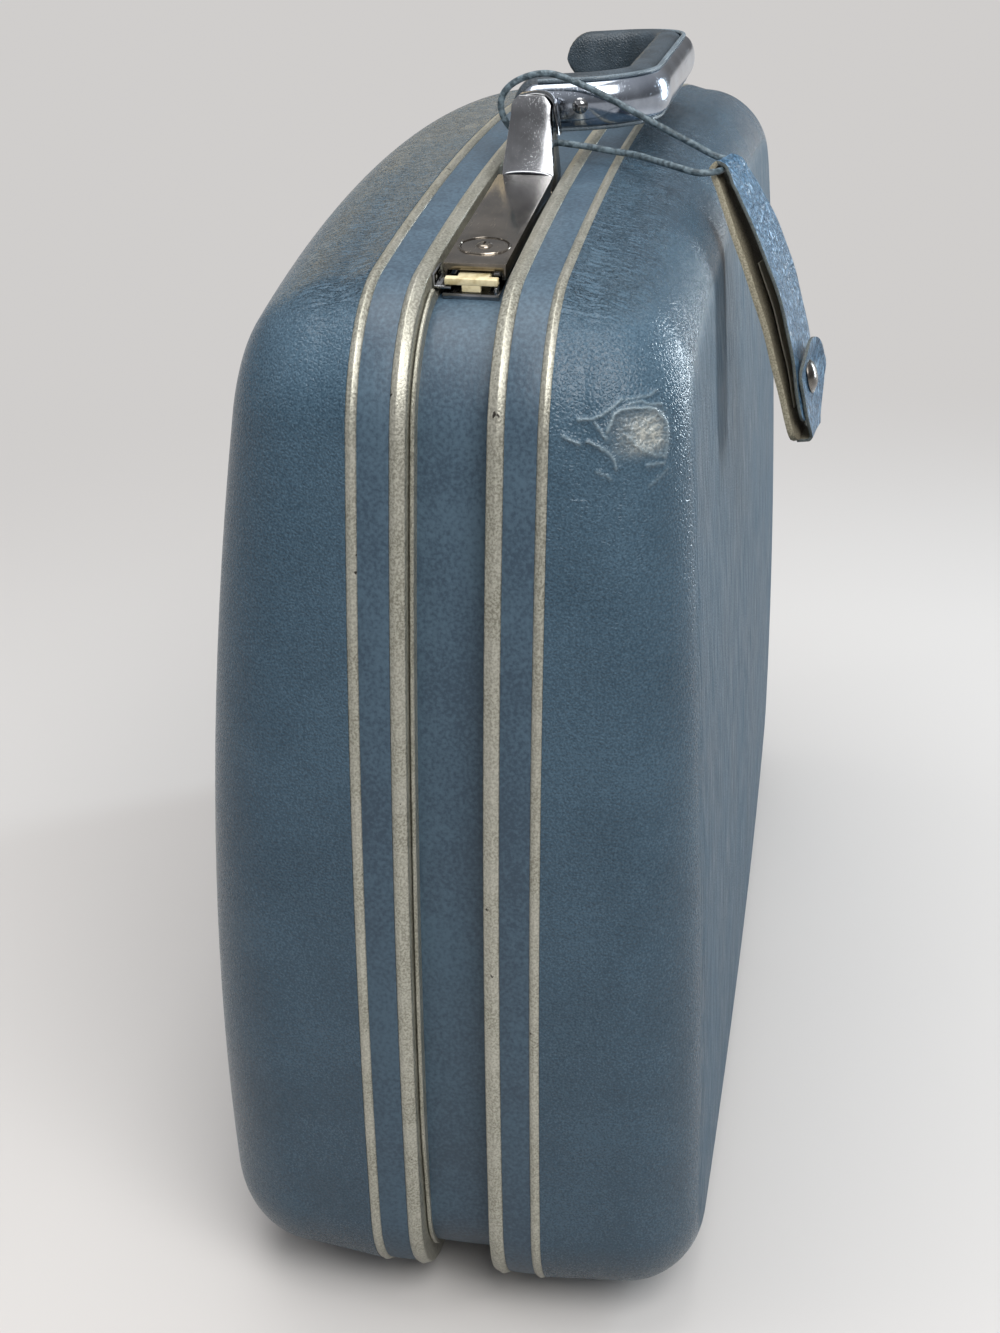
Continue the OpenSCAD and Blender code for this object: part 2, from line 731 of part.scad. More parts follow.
module strap_buckles() {
    t = 2;
    bar = 4;
    eye = (buckle_l - 3 * bar) / 2;
    x_far = strap_x + strap_w / 2 + bar;
    y = min([for (z = [buckle_z, buckle_z + buckle_l]) depth(body_face, x_far, z)]);
    color(chrome) for (x = [-strap_x, strap_x])
        translate([x, y - strap_seat - strap_t - clear - t, buckle_z]) difference() {
            translate([-strap_w / 2 - bar, 0, 0]) cube([strap_w + 2 * bar, t, buckle_l]);
            for (z = [bar, 2 * bar + eye])
                translate([-strap_w / 2, -1, z]) cube([strap_w, t + 2, eye]);
        }
}
pocket_t = 4;
elastic_h = 12;
module lid_pocket() {
    z1 = pocket_top - elastic_h;
    color(satin) on_lid()
        face_strip(lid_face, -pocket_half, pocket_half, strap_z0, z1, pocket_seat, pocket_t);
}
module pocket_elastic() {
    z0 = pocket_top - elastic_h;
    color(satin) on_lid()
        face_strip(lid_face, -pocket_half, pocket_half, z0, pocket_top, pocket_seat, pocket_t + 1);
}

// Luggage tag: a strip folded over the thong, hung outside the body shell and turned off its face
tag_top = [113, 82, 464.4];
tag_turn = -14;
tag_lean = 20;
neck_w = 20;
neck_l = 4;
shoulder_l = 60;
snap_r = 7.5;
snap_h = 3;
tab_w = 24;
flap_r = tag_w / 2 - 2;
flap_mid = 25;
flap_rise = 15;
flap_dip = 20;
foot_round = 6;
fold_in = tag_gap / 2;
fold_out = fold_in + tag_t;
module at_tag() {
    translate(tag_top) rotate([0, 0, tag_turn]) rotate([tag_lean, 0, 0]) children();
}
module tag_leaf(y0, l) {
    translate([0, y0 + tag_t, 0]) rotate([90, 0, 0]) linear_extrude(tag_t) {
        polygon([
            [neck_w / 2, 0], [neck_w / 2, -neck_l], [tag_w / 2, -shoulder_l], [tag_w / 2, foot_round - l],
            [-tag_w / 2, foot_round - l], [-tag_w / 2, -shoulder_l], [-neck_w / 2, -neck_l], [-neck_w / 2, 0]
        ]);
        translate([foot_round - tag_w / 2, -l]) square([tag_w - 2 * foot_round, foot_round + eps]);
        for (x = [-1, 1]) translate([x * (tag_w / 2 - foot_round), foot_round - l]) circle(r = foot_round);
    }
}
module tag_fold() {
    difference() {
        along_x(-neck_w / 2, neck_w / 2, fold_out);
        along_x(-neck_w, neck_w, fold_in);
        translate([-neck_w, -2 * fold_out, -2 * fold_out]) cube([2 * neck_w, 4 * fold_out, 2 * fold_out]);
    }
}
module tag_back() {
    color(vinyl) at_tag() {
        tag_leaf(-fold_out, tag_l);
        tag_fold();
    }
}
front_short = 8;
module tag_front() { color(vinyl) at_tag() tag_leaf(fold_in, tag_l - front_short); }
card_t = 0.8;
module tag_card() {
    edge = 4;
    card_w = (neck_w + tag_w) / 2;
    card_l = tag_l - front_short - 2 * edge - (neck_l + shoulder_l) / 2;
    color("ivory") at_tag() translate([-card_w / 2, clear - fold_in, front_short + edge - tag_l])
        cube([card_w, card_t, card_l]);
}
module tag_tab() {
    color(vinyl) at_tag() {
        translate([0, fold_out + clear + tag_t, -tag_l - tag_t]) rotate([90, 0, 0]) linear_extrude(tag_t)
            polygon(concat(
                [[-tab_w / 2, 0], [tab_w / 2, 0]],
                [for (a = [-flap_dip : 10 : 180 + flap_dip]) [flap_r * cos(a), flap_mid + flap_rise * sin(a)]]
            ));
        translate([-tab_w / 2, -fold_out, -tag_l - tag_t]) cube([tab_w, 2 * fold_out + clear + eps, tag_t]);
    }
}
module tag_snap() {
    y = fold_out + clear + tag_t;
    color(chrome) at_tag() translate([0, y, flap_mid - tag_t - tag_l]) rotate([-90, 0, 0])
        dome_rivet(snap_r, snap_h);
}

// Thong: starts in the tag's fold, goes round behind the post and comes back into the fold
thong_r = 1.6;
thong_route = [
    [113.5, 82, 465], [118, 81, 465], [123, 80, 465], [128, 77, 465], [130, 71, 465], [127, 64, 466],
    [120, 55, 467], [111, 44, 468], [103, 33, 468], [99, 21, 469], [98, 10, 470], [98, 0, 471],
    [98, -9, 474], [98, -14, 480], [98, -15, 487], [98, -11, 493], [98, -3, 497], [98, 6, 498],
    [98, 16, 495], [98, 28, 490], [98, 40, 484], [98, 54, 477], [97, 66, 471], [96, 76, 466],
    [98, 82, 465], [103, 84.4, 465], [108, 83.3, 465], [112.5, 82.2, 465]
];
thong_up = [0.6, -0.2, 0.8];
thong_sides = 8;
thong_steps = 2;
function spline(p, i, t) =
    let (n = len(p) - 1, a = p[max(i - 1, 0)], b = p[i], c = p[min(i + 1, n)], d = p[min(i + 2, n)])
    0.5 * (2 * b + (c - a) * t + (2 * a - 5 * b + 4 * c - d) * t * t + (3 * b - a - 3 * c + d) * t * t * t);
function unit(v) = v / norm(v);
thong_path = concat(
    [for (i = [0 : len(thong_route) - 2], k = [0 : thong_steps - 1]) spline(thong_route, i, k / thong_steps)],
    [thong_route[len(thong_route) - 1]]
);
function path_dir(i) =
    unit(thong_path[min(i + 1, len(thong_path) - 1)] - thong_path[max(i - 1, 0)]);
function thong_ring(i) =
    let (d = path_dir(i), a = unit(cross(d, thong_up)), b = cross(d, a))
    [
        for (k = [0 : thong_sides - 1])
            let (t = 360 * k / thong_sides)
            thong_path[i] + thong_r * (a * cos(t) + b * sin(t))
    ];
module tag_thong() {
    n = len(thong_path) - 1;
    color(vinyl_dark) loft([for (i = [0 : n]) thong_ring(i)], thong_path[0], thong_path[n]);
}

// The footprint is centred on the origin, so the parting plane lies off it
function reach(f) = max([for (r = outer_rings(f, lip_y), p = r) p.y]);
parting_y = (reach(lid_face) - reach(body_face)) / 2;
module placed() {
    translate([0, parting_y, 0]) children();
}

placed() body_shell();
placed() body_frame();
placed() channel_band();
placed() body_band();
placed() body_piping();
placed() body_lining();
placed() body_feet();
placed() hinge_leaf_body();
placed() hinge_pins();
placed() hinge_rivets_body();
placed() right_latch_base();
placed() left_latch_base();
placed() right_latch_pin();
placed() left_latch_pin();
placed() right_latch_spring();
placed() left_latch_spring();
placed() latch_rivets();
placed() right_handle_post();
placed() left_handle_post();
placed() handle_pins();
placed() packing_straps();
placed() strap_buckles();
placed() tag_thong();
placed() lid_shell();
placed() lid_frame();
placed() lid_band();
placed() lid_piping();
placed() lid_lining();
placed() lid_pocket();
placed() pocket_elastic();
placed() lid_feet();
placed() hinge_leaf_lid();
placed() hinge_rivets_lid();
placed() right_keeper();
placed() left_keeper();
placed() keeper_rivets();
placed() handle_core();
placed() handle_grip();
placed() handle_band();
placed() handle_rivets();
placed() right_latch_lever();
placed() left_latch_lever();
placed() right_latch_bolt();
placed() left_latch_bolt();
placed() right_lock_disc();
placed() left_lock_disc();
placed() tag_front();
placed() tag_back();
placed() tag_card();
placed() tag_tab();
placed() tag_snap();
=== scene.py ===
import functools
import json
import math

import bmesh
import bpy
import mathutils
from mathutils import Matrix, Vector

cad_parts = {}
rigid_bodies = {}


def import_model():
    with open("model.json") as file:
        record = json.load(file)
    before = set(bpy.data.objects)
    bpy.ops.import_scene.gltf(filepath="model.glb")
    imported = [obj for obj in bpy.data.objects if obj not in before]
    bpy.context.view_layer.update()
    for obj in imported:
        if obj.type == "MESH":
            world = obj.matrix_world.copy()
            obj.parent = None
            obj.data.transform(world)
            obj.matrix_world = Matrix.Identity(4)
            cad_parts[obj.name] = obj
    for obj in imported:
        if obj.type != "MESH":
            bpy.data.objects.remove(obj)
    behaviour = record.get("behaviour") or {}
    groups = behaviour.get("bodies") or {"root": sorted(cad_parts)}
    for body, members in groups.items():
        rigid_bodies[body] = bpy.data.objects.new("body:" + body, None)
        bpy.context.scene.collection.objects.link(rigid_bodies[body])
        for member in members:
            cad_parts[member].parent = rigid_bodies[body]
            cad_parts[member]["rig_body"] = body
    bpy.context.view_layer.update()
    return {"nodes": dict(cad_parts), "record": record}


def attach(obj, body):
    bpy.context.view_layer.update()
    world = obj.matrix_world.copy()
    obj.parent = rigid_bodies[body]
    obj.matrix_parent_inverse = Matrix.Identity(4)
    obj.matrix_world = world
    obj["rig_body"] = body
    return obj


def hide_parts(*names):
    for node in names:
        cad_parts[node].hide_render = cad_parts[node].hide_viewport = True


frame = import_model()

# Camera: stands off the near latch end of the case, above its top and a little to the body's side,
# and looks down along the channel.
scene = bpy.context.scene
camera_data = bpy.data.cameras.new("camera")
camera_data.lens = 53.0
camera_data.sensor_width = 36
camera = bpy.data.objects.new("camera", camera_data)
camera.location = (0.9351, 0.1385, 0.6083)
camera_sight = Vector((-0.898, -0.159, -0.4105))
camera.rotation_mode = "QUATERNION"
camera.rotation_quaternion = camera_sight.to_track_quat("-Z", "Y")
scene.collection.objects.link(camera)
scene.camera = camera

# Thong: a narrow strip cut from the same vinyl as the tag, its edges rubbed round. It starts in the
# tag's fold, goes round behind the near post and comes back into the fold.
parting_y = 0.005791
thong_width = 0.0028
thong_thickness = 0.0020
thong_route = [
    (0.1135, 0.082, 0.465), (0.118, 0.081, 0.465), (0.123, 0.080, 0.465), (0.128, 0.077, 0.465),
    (0.130, 0.071, 0.465), (0.127, 0.064, 0.466), (0.120, 0.055, 0.467), (0.111, 0.044, 0.468),
    (0.103, 0.033, 0.468), (0.099, 0.021, 0.469), (0.098, 0.010, 0.470), (0.098, 0.0, 0.471),
    (0.098, -0.009, 0.474), (0.098, -0.014, 0.480), (0.098, -0.015, 0.487), (0.098, -0.011, 0.493),
    (0.098, -0.003, 0.497), (0.098, 0.006, 0.498), (0.098, 0.016, 0.495), (0.098, 0.028, 0.490),
    (0.098, 0.040, 0.484), (0.098, 0.054, 0.477), (0.097, 0.066, 0.471), (0.096, 0.076, 0.466),
    (0.098, 0.082, 0.465), (0.103, 0.0844, 0.465), (0.108, 0.0833, 0.465), (0.1125, 0.0822, 0.465),
]


def from_parting(point):
    """A point measured from the parting plane, moved to the frame whose origin is under the footprint."""
    return Vector(point) + Vector((0, parting_y, 0))


def smooth_route(points, steps):
    """Points of a smooth curve through the route's points."""
    route = [Vector(p) for p in points]
    last = len(route) - 1
    curve = []
    for i in range(last):
        a, b = route[max(i - 1, 0)], route[i]
        c, d = route[i + 1], route[min(i + 2, last)]
        for k in range(steps):
            t = k / steps
            curve.append(0.5 * (2 * b + (c - a) * t + (2 * a - 5 * b + 4 * c - d) * t ** 2
                                + (3 * b - a - 3 * c + d) * t ** 3))
    return curve + [route[last]]


def grid_faces(rows, count, loop=False):
    """Faces between rows of count points, each row closed on itself; loop joins the last row to the first."""
    faces = []
    for i in range(rows if loop else rows - 1):
        a, b = i * count, (i + 1) % rows * count
        for k in range(count):
            m = (k + 1) % count
            faces.append((a + k, a + m, b + m, b + k))
    return faces


def tube_faces(rows, count):
    """Faces of a tube of rows of count points each, with its two ends closed."""
    return grid_faces(rows, count) + [tuple(range(count)), tuple(range((rows - 1) * count, rows * count))]


def swept_tube(path, section, first_side):
    """Vertices and faces of a section carried along a path without twisting; section holds (side, up)."""
    verts = []
    side = Vector(first_side)
    for i, point in enumerate(path):
        along = (path[min(i + 1, len(path) - 1)] - path[max(i - 1, 0)]).normalized()
        side = (side - along * side.dot(along)).normalized()
        up = along.cross(side)
        verts += [point + side * s + up * u for s, u in section]
    return verts, tube_faces(len(path), len(section))


def closed_mesh(name, verts, faces):
    """A mesh given from the parting plane, with its faces turned outward."""
    mesh = bpy.data.meshes.new(name)
    mesh.from_pydata([from_parting(v) for v in verts], [], faces)
    form = bmesh.new()
    form.from_mesh(mesh)
    bmesh.ops.recalc_face_normals(form, faces=form.faces)
    form.to_mesh(mesh)
    form.free()
    return mesh


def place_piece(name, mesh, material, body, slot, *nodes, sharp=40):
    """Links a finished mesh, shades it smooth up to the sharp angle and hides the CAD nodes it stands for."""
    mesh.polygons.foreach_set("use_smooth", [True] * len(mesh.polygons))
    mesh.set_sharp_from_angle(angle=math.radians(sharp))
    mesh.materials.clear()
    mesh.materials.append(material)
    piece = bpy.data.objects.new(name, mesh)
    scene.collection.objects.link(piece)
    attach(piece, body)
    if nodes:
        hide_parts(*nodes)
    return piece


def make_piece(name, verts, faces, material, body, slot, *nodes, sharp=40):
    """A smooth-shaded piece, given from the parting plane, that rides on a body and stands for CAD nodes."""
    return place_piece(name, closed_mesh(name, verts, faces), material, body, slot, *nodes, sharp=sharp)


def start_material(name, roughness, metallic=0.0, specular=0.5, sheen=0.0):
    made = bpy.data.materials.new(name)
    made.use_nodes = True
    shader = made.node_tree.nodes["Principled BSDF"]
    for socket, value in (("Roughness", roughness), ("Metallic", metallic), ("Specular IOR Level", specular),
                          ("Sheen Weight", sheen)):
        shader.inputs[socket].default_value = value
    return made


class Wire:
    """A value running through a material's nodes; sums, differences and products of wires add nodes."""

    def __init__(self, made, socket):
        self.made, self.socket = made, socket

    def maths(self, operation, other=0.0):
        return add_node(self.made, "ShaderNodeMath", 0, {"operation": operation}, {0: self, 1: other})

    def __add__(self, other):
        return self.maths("ADD", other)

    def __sub__(self, other):
        return self.maths("SUBTRACT", other)

    def __mul__(self, other):
        return self.maths("MULTIPLY", other)

    def fade(self, low, high, to_low=0.0, to_high=1.0):
        """This value carried smoothly from the range low..high to the range to_low..to_high."""
        sockets = {"Value": self, "From Min": low, "From Max": high, "To Min": to_low, "To Max": to_high}
        smooth = {"interpolation_type": "SMOOTHSTEP"}
        return add_node(self.made, "ShaderNodeMapRange", "Result", smooth, sockets)

    def mix(self, *colours):
        """The first colour where this value is 0, the second where it is 1."""
        a, b = (c if isinstance(c, Wire) else (*c, 1) for c in colours)
        return add_node(self.made, "ShaderNodeMix", 2, {"data_type": "RGBA"}, {0: self, 6: a, 7: b})


def add_node(made, kind, output, settings=(), sockets=()):
    """Adds a node with its settings and sockets filled, and returns the wire from its output."""
    node = made.node_tree.nodes.new(kind)
    for name, value in dict(settings).items():
        setattr(node, name, value)
    for key, value in dict(sockets).items():
        if isinstance(value, Wire):
            made.node_tree.links.new(value.socket, node.inputs[key])
        else:
            node.inputs[key].default_value = value
    return Wire(made, node.outputs[output])


def object_place(made, stretch=(1, 1, 1)):
    """The point on the piece in metres, stretched along each axis."""
    place = add_node(made, "ShaderNodeTexCoord", "Object")
    return add_node(made, "ShaderNodeMapping", "Vector", {}, {"Vector": place, "Scale": stretch})


def noise(made, scale, detail=3.0, stretch=(1, 1, 1)):
    sockets = {"Vector": object_place(made, stretch), "Scale": scale, "Detail": detail}
    return add_node(made, "ShaderNodeTexNoise", "Fac", {}, sockets)


def pebbles(made, scale):
    """Rounded cells of leather grain."""
    sockets = {"Vector": object_place(made), "Scale": scale}
    cells = add_node(made, "ShaderNodeTexVoronoi", "Distance", {"feature": "DISTANCE_TO_EDGE"}, sockets)
    return cells.fade(0.0, 0.35)


def bumps(made, *layers):
    """Bumps laid over one another, each given as (height, distance, strength)."""
    normal = None
    for height, distance, strength in layers:
        sockets = {"Height": height, "Distance": distance, "Strength": strength}
        if normal is not None:
            sockets["Normal"] = normal
        normal = add_node(made, "ShaderNodeBump", "Normal", {}, sockets)
    return normal


def finish_material(made, **wires):
    shader = made.node_tree.nodes["Principled BSDF"]
    names = {"colour": "Base Color", "roughness": "Roughness", "normal": "Normal"}
    for key, wire in wires.items():
        made.node_tree.links.new(wire.socket, shader.inputs[names[key]])
    return made


def two_tone(name, roughness, patches, low, high, first, second, *reliefs):
    """A material in two tones shared out by noise patches; reliefs are (scale, detail, distance, strength)."""
    made = start_material(name, roughness)
    colour = noise(made, *patches).fade(low, high).mix(first, second)
    normal = bumps(made, *((noise(made, *relief[:2]), *relief[2:]) for relief in reliefs))
    return finish_material(made, colour=colour, normal=normal)


def oval(width, thickness, count):
    turns = [2 * math.pi * k / count for k in range(count)]
    return [(width / 2 * math.cos(t), thickness / 2 * math.sin(t)) for t in turns]


thong_vinyl = two_tone("thong_vinyl", 0.45, (480, 4), 0.35, 0.68, (0.040, 0.064, 0.080),
                       (0.165, 0.225, 0.265), (480, 4, 0.0008, 0.7), (1600, 3, 0.0003, 0.6))
thong_path = smooth_route(thong_route, 6)
lace = swept_tube(thong_path, oval(thong_width, thong_thickness, 12), (0, 0, 1))
thong = make_piece("tag_thong_lace", *lace, thong_vinyl, "body", "thong", "tag_thong")
thong_length = sum((b - a).length for a, b in zip(thong_path, thong_path[1:]))

# Shells: two moulded halves, wall and large face in one, covered in leather-grained vinyl that is
# pulled over the rounded edge and tucked under the piping. The lid is the deeper half. The body's has
# taken a knock near its upper corner.
half_length = 0.305
crown_z = 0.4656
base_z = 0.004
top_bow = 0.0252
end_bow = 0.0189
end_mid_z = 0.227
corner_r = 0.056
channel_depth = 0.012
body_face = (0.0975, 0.006, 0.003)
lid_face = (0.112, 0.012, 0.014)
depth_taper = 0.0243
edge_r = 0.034
shell_t = 0.003
wall_draft = 0.083
shell_inset = 0.0009
rim_inset = 0.0022
lip_y = 0.0205
band_y = 0.0325
piping_y = 0.0362

end_half = (crown_z - base_z + channel_depth) / 2
top_r = (half_length ** 2 + top_bow ** 2) / (2 * top_bow)
end_r = (end_half ** 2 + end_bow ** 2) / (2 * end_bow)
top_c = (0, crown_z - top_r)
end_c = (half_length - end_r, end_mid_z)
low_c_z = base_z + corner_r
low_c = (end_c[0] + math.sqrt((end_r - corner_r) ** 2 - (low_c_z - end_mid_z) ** 2), low_c_z)


def circles_meet(a, ra, b, rb):
    """The meeting point of two circles that lies further along X."""
    dx, dz = b[0] - a[0], b[1] - a[1]
    gap = math.hypot(dx, dz)
    ex, ez = dx / gap, dz / gap
    along = (gap ** 2 + ra ** 2 - rb ** 2) / (2 * gap)
    across = math.sqrt(ra ** 2 - along ** 2)
    ends = [(a[0] + along * ex + s * across * ez, a[1] + along * ez - s * across * ex) for s in (1, -1)]
    return max(ends)


def heading(a, b):
    return math.atan2(b[1] - a[1], b[0] - a[0])


up_c = circles_meet(top_c, top_r - corner_r, end_c, end_r - corner_r)
low_a, up_a, top_a = heading(end_c, low_c), heading(end_c, up_c), heading(top_c, up_c)
corner_steps, end_steps, top_steps, low_steps = 30, 18, 40, 48


def arc(centre, radius, start, end, steps):
    turns = [start + (end - start) * i / steps for i in range(steps)]
    return [(centre[0] + radius * math.cos(t), centre[1] + radius * math.sin(t)) for t in turns]


def case_line(inset):
    """The case's outline seen from the side, (x, z), drawn in by inset; all insets run parallel."""
    half = arc(low_c, corner_r - inset, -math.pi / 2, low_a, corner_steps)
    half += arc(end_c, end_r - inset, low_a, up_a, end_steps)
    half += arc(up_c, corner_r - inset, up_a, top_a, corner_steps)
    top = arc(top_c, top_r - inset, top_a, math.pi - top_a, top_steps)
    low = [(low_c[0] * (2 * i / low_steps - 1), base_z + inset) for i in range(1, low_steps)]
    other = [(-x, z) for x, z in reversed(half)]
    return half + top + [(-top[0][0], top[0][1])] + other + low


def depth(face, x, z):
    """Depth of a half from the parting plane at a point of its large face."""
    middle, fall, fall_to_ends = face
    w = (2 * z - crown_z - base_z) / (crown_z - base_z)
    v = x / half_length
    return middle - depth_taper * w / 2 - fall * w * w - fall_to_ends * v * v


face_mid_z = (crown_z + base_z) / 2
edge_steps = 26
face_steps = 12


def wall_end(face):
    """Inset at which a half's wall runs into its rounded edge."""
    return shell_inset + wall_draft * (face[0] - edge_r - piping_y)


def ring_at(inset, y):
    return [(x, y, z) for x, z in case_line(inset)]


def ring_in(face, inset, off, share=1):
    """A ring off metres inside a half's large face; share draws it in towards the middle of the face."""
    points = [(x * share, face_mid_z + (z - face_mid_z) * share) for x, z in case_line(inset)]
    return [(x, depth(face, x, z) - off, z) for x, z in points]


def edge_and_face(face, skin):
    """Rings over the rounded edge and the large face, skin metres inside the outer surface."""
    turns = [math.pi / 2 * i / edge_steps for i in range(1, edge_steps + 1)]
    inset = wall_end(face) + edge_r
    edge = [ring_in(face, inset - (edge_r - skin) * math.cos(t), edge_r - (edge_r - skin) * math.sin(t))
            for t in turns]
    return edge + [ring_in(face, inset, skin, 1 - i / face_steps) for i in range(1, face_steps)]


def inside_rings(face, y_rim, skin):
    """Rings of a surface skin metres inside a half, from its rim to the middle of its large face."""
    rim = [ring_at(rim_inset + skin, y) for y in (y_rim, piping_y + skin)]
    return rim + edge_and_face(face, skin)


def lofted(rings, first, last, side):
    """Closed skin through a chain of rings between two end points, on the body's or the lid's side."""
    count = len(rings[0])
    verts = [first] + [p for r in rings for p in r] + [last]
    faces = [(0, 1 + i, 1 + (i + 1) % count) for i in range(count)]
    faces += [tuple(1 + v for v in f) for f in grid_faces(len(rings), count)]
    end, start = len(verts) - 1, 1 + (len(rings) - 1) * count
    faces += [(end, start + i, start + (i + 1) % count) for i in range(count)]
    return [(x, side * y, z) for x, y, z in verts], faces


def face_middle(face, skin):
    return (0, depth(face, 0, face_mid_z) - skin, face_mid_z)


def ridged(value):
    """Distance of a noise value from its middle, which draws narrow lines."""
    return (value - 0.5).maths("ABSOLUTE")


def grained_vinyl(name, dark, light):
    """Leather-grained vinyl: pebbled and mottled, with wrinkles over the top and streaks down the faces."""
    made = start_material(name, 0.36, specular=0.30)
    fleck = noise(made, 1150, 4)
    mottle = noise(made, 24, 5)
    tone = fleck.fade(0.30, 0.70) * 0.72 + mottle.fade(0.3, 0.7) * 0.28
    wrinkles = ridged(noise(made, 1, 4, (430, 90, 160))).fade(0.0, 0.09)
    streaks = noise(made, 1, 4, (520, 300, 45))
    facing = add_node(made, "ShaderNodeTexCoord", "Normal")
    across, upward = (add_node(made, "ShaderNodeSeparateXYZ", axis, {}, {0: facing}) for axis in "YZ")
    on_top = upward.fade(0.68, 0.96, 0.06, 1.0)
    on_face = across.maths("ABSOLUTE").fade(0.935, 0.995, 0.0, 0.9)
    normal = bumps(made, (noise(made, 30, 3), 0.004, 0.25), (wrinkles, 0.0012, on_top),
                   (streaks, 0.0011, on_face), (pebbles(made, 620), 0.00017, 0.8), (fleck, 0.00008, 0.8))
    rough = (fleck + mottle).fade(0.7, 1.3, 0.19, 0.31) + on_face * streaks.fade(0.36, 0.64, 0.20, 0.46)
    return made, tone.mix(dark, light), rough, normal


knock_spot = Vector((0.2854, 0.0733, 0.4036))
knock_across = Vector((-0.585, 0.811, 0.0))
knock_upward = Vector((-0.196, -0.142, 0.970))
knock_reach = 0.032
knock_depth = 0.00045
# The knock's pale patch colour: partly rubbed wear, partly painted sheen.
wear_and_sheen_grey = (0.50, 0.51, 0.47)
# The crease colour: a painted highlight along the folds.
crease_highlight_blue = (0.42, 0.52, 0.57)
# The folds and creases round the knock: how sharp each is, and its line in millimetres across and upward.
creases = [
    (1.0, [(-12.3, 1.9), (-10.9, 4.3), (-9.3, 7.6), (-6.7, 8.7), (-0.9, 8.8), (6.2, 7.5)]),
    (0.6, [(6.2, 7.5), (8.4, 5.3), (10.5, 3.1), (10.7, -0.5), (10.1, -4.9), (9.1, -9.2)]),
    (0.8, [(9.1, -9.2), (4.8, -8.4), (-0.7, -5.6), (-3.9, -2.3), (-4.5, -0.9)]),
    (0.8, [(-20.4, 7.2), (-16.1, 6.8), (-13.1, 7.9), (-9.5, 9.9), (-5.8, 12.3)]),
    (0.5, [(-4.4, 11.9), (1.4, 12.3), (5.3, 12.5), (7.9, 13.8)]),
    (0.6, [(-3.6, 10.4), (1.2, 10.6), (4.0, 9.4), (8.8, 8.8)]),
    (0.7, [(-25.9, 2.1), (-23.6, 0.8), (-21.0, -1.4)]),
    (0.8, [(-18.5, -0.8), (-14.8, -2.8), (-12.2, -5.1), (-10.6, -7.6), (-10.0, -11.0)]),
    (0.6, [(-15.8, 5.2), (-14.2, 2.3), (-12.6, -0.3)]),
    (0.7, [(1.1, -11.5), (4.5, -11.2), (8.3, -11.7)]),
    (0.5, [(-15.9, -11.5), (-11.8, -14.3)]),
    (0.4, [(-3.6, 2.1), (-3.5, -1.1), (-0.5, -3.9), (2.2, -5.7), (6.2, -4.6), (8.9, -2.9)]),
    (0.4, [(0.3, 2.7), (5.5, 5.3)]),
    (0.4, [(2.3, -0.8), (4.4, 0.6), (7.4, 1.0)]),
    (0.4, [(1.7, -18.6), (6.8, -15.9), (10.0, -13.4)]),
]


def clamped(value):
    return min(max(value, 0), 1)


def gap_to_line(point, line):
    """Distance from a point to a bent line."""
    gaps = []
    for start, end in zip(line, line[1:]):
        a, b = Vector(start), Vector(end)
        share = clamped((point - a).dot(b - a) / (b - a).length_squared)
        gaps.append((point - a - (b - a) * share).length)
    return min(gaps)


def fold_at(at, width):
    """How much of a fold of the given width there is at a point of the knock."""
    return max(sharp * math.exp(-(gap_to_line(at, line) / width) ** 2) for sharp, line in creases)


def patch_at(at, x, y, wide, high):
    """A patch with soft edges round (x, y): 1 inside, 0 well outside."""
    return math.exp(-((at.x - x) / wide) ** 4 - ((at.y - y) / high) ** 4)


def knock_form(place):
    """Height, pale patch and crease at a point of the knock: a dent with folds round it, its paleness part
    rubbed wear, part painted sheen.
    """
    off = (place - knock_spot) * 1000
    ripple = mathutils.noise.noise(off * 0.45)
    at = Vector((off.dot(knock_across) + 0.5 * ripple, off.dot(knock_upward) + 0.4 * ripple))
    crease, swell = fold_at(at, 0.5), fold_at(at, 1.3)
    core, around = patch_at(at, 2.6, -0.2, 6.4, 6.0), patch_at(at, -0.2, 0.0, 10.0, 7.8)
    crackle = 1 - min(abs(mathutils.noise.noise(off * 0.62)) / 0.3, 1)
    wear_and_sheen = (0.56 * core + 0.38 * around) * (0.45 + 0.55 * crackle)
    return knock_depth * (crease + swell - around * (1 - crackle)), wear_and_sheen, crease


def press_knock(piece):
    """Refines the cover round the knock, moves it in and out there, and notes its pale patch of wear and
    painted sheen and its creases.
    """
    outward = knock_across.cross(knock_upward)

    def at_knock(place, normal):
        return (place - knock_spot).length < knock_reach and normal.dot(outward) > 0.2

    form = bmesh.new()
    form.from_mesh(piece.data)
    form.normal_update()
    for longest, cuts in ((0.006, 3), (0.0, 5)):
        outside = [f for f in form.faces if at_knock(f.calc_center_median(), f.normal)]
        edges = list({e for f in outside for e in f.edges if e.calc_length() > longest})
        bmesh.ops.subdivide_edges(form, edges=edges, cuts=cuts, smooth=1.0, use_grid_fill=True)
        form.normal_update()
    wear_and_sheen_layer = form.verts.layers.float.new("wear_and_sheen")
    crease_layer = form.verts.layers.float.new("crease")
    moves = []
    for vert in form.verts:
        if at_knock(vert.co, vert.normal):
            height, vert[wear_and_sheen_layer], vert[crease_layer] = knock_form(vert.co)
            moves.append((vert, vert.normal * height))
    for vert, move in moves:
        vert.co += move
    form.to_mesh(piece.data)
    form.free()


def knocked(made, colour, rough, normal):
    """Adds the knock's pale patch, partly rubbed wear and partly painted sheen, and a painted highlight along
    its creases to a vinyl, and finishes it.
    """
    wear_and_sheen = add_node(made, "ShaderNodeAttribute", "Fac", {"attribute_name": "wear_and_sheen"})
    crease = add_node(made, "ShaderNodeAttribute", "Fac", {"attribute_name": "crease"})
    # Pale patch (rubbed wear and painted sheen), then a painted highlight along the creases.
    colour = (crease * 0.48).mix(wear_and_sheen.mix(colour, wear_and_sheen_grey), crease_highlight_blue)
    rough = rough - wear_and_sheen.maths("MAXIMUM", crease) * 0.10
    return finish_material(made, colour=colour, roughness=rough, normal=normal)


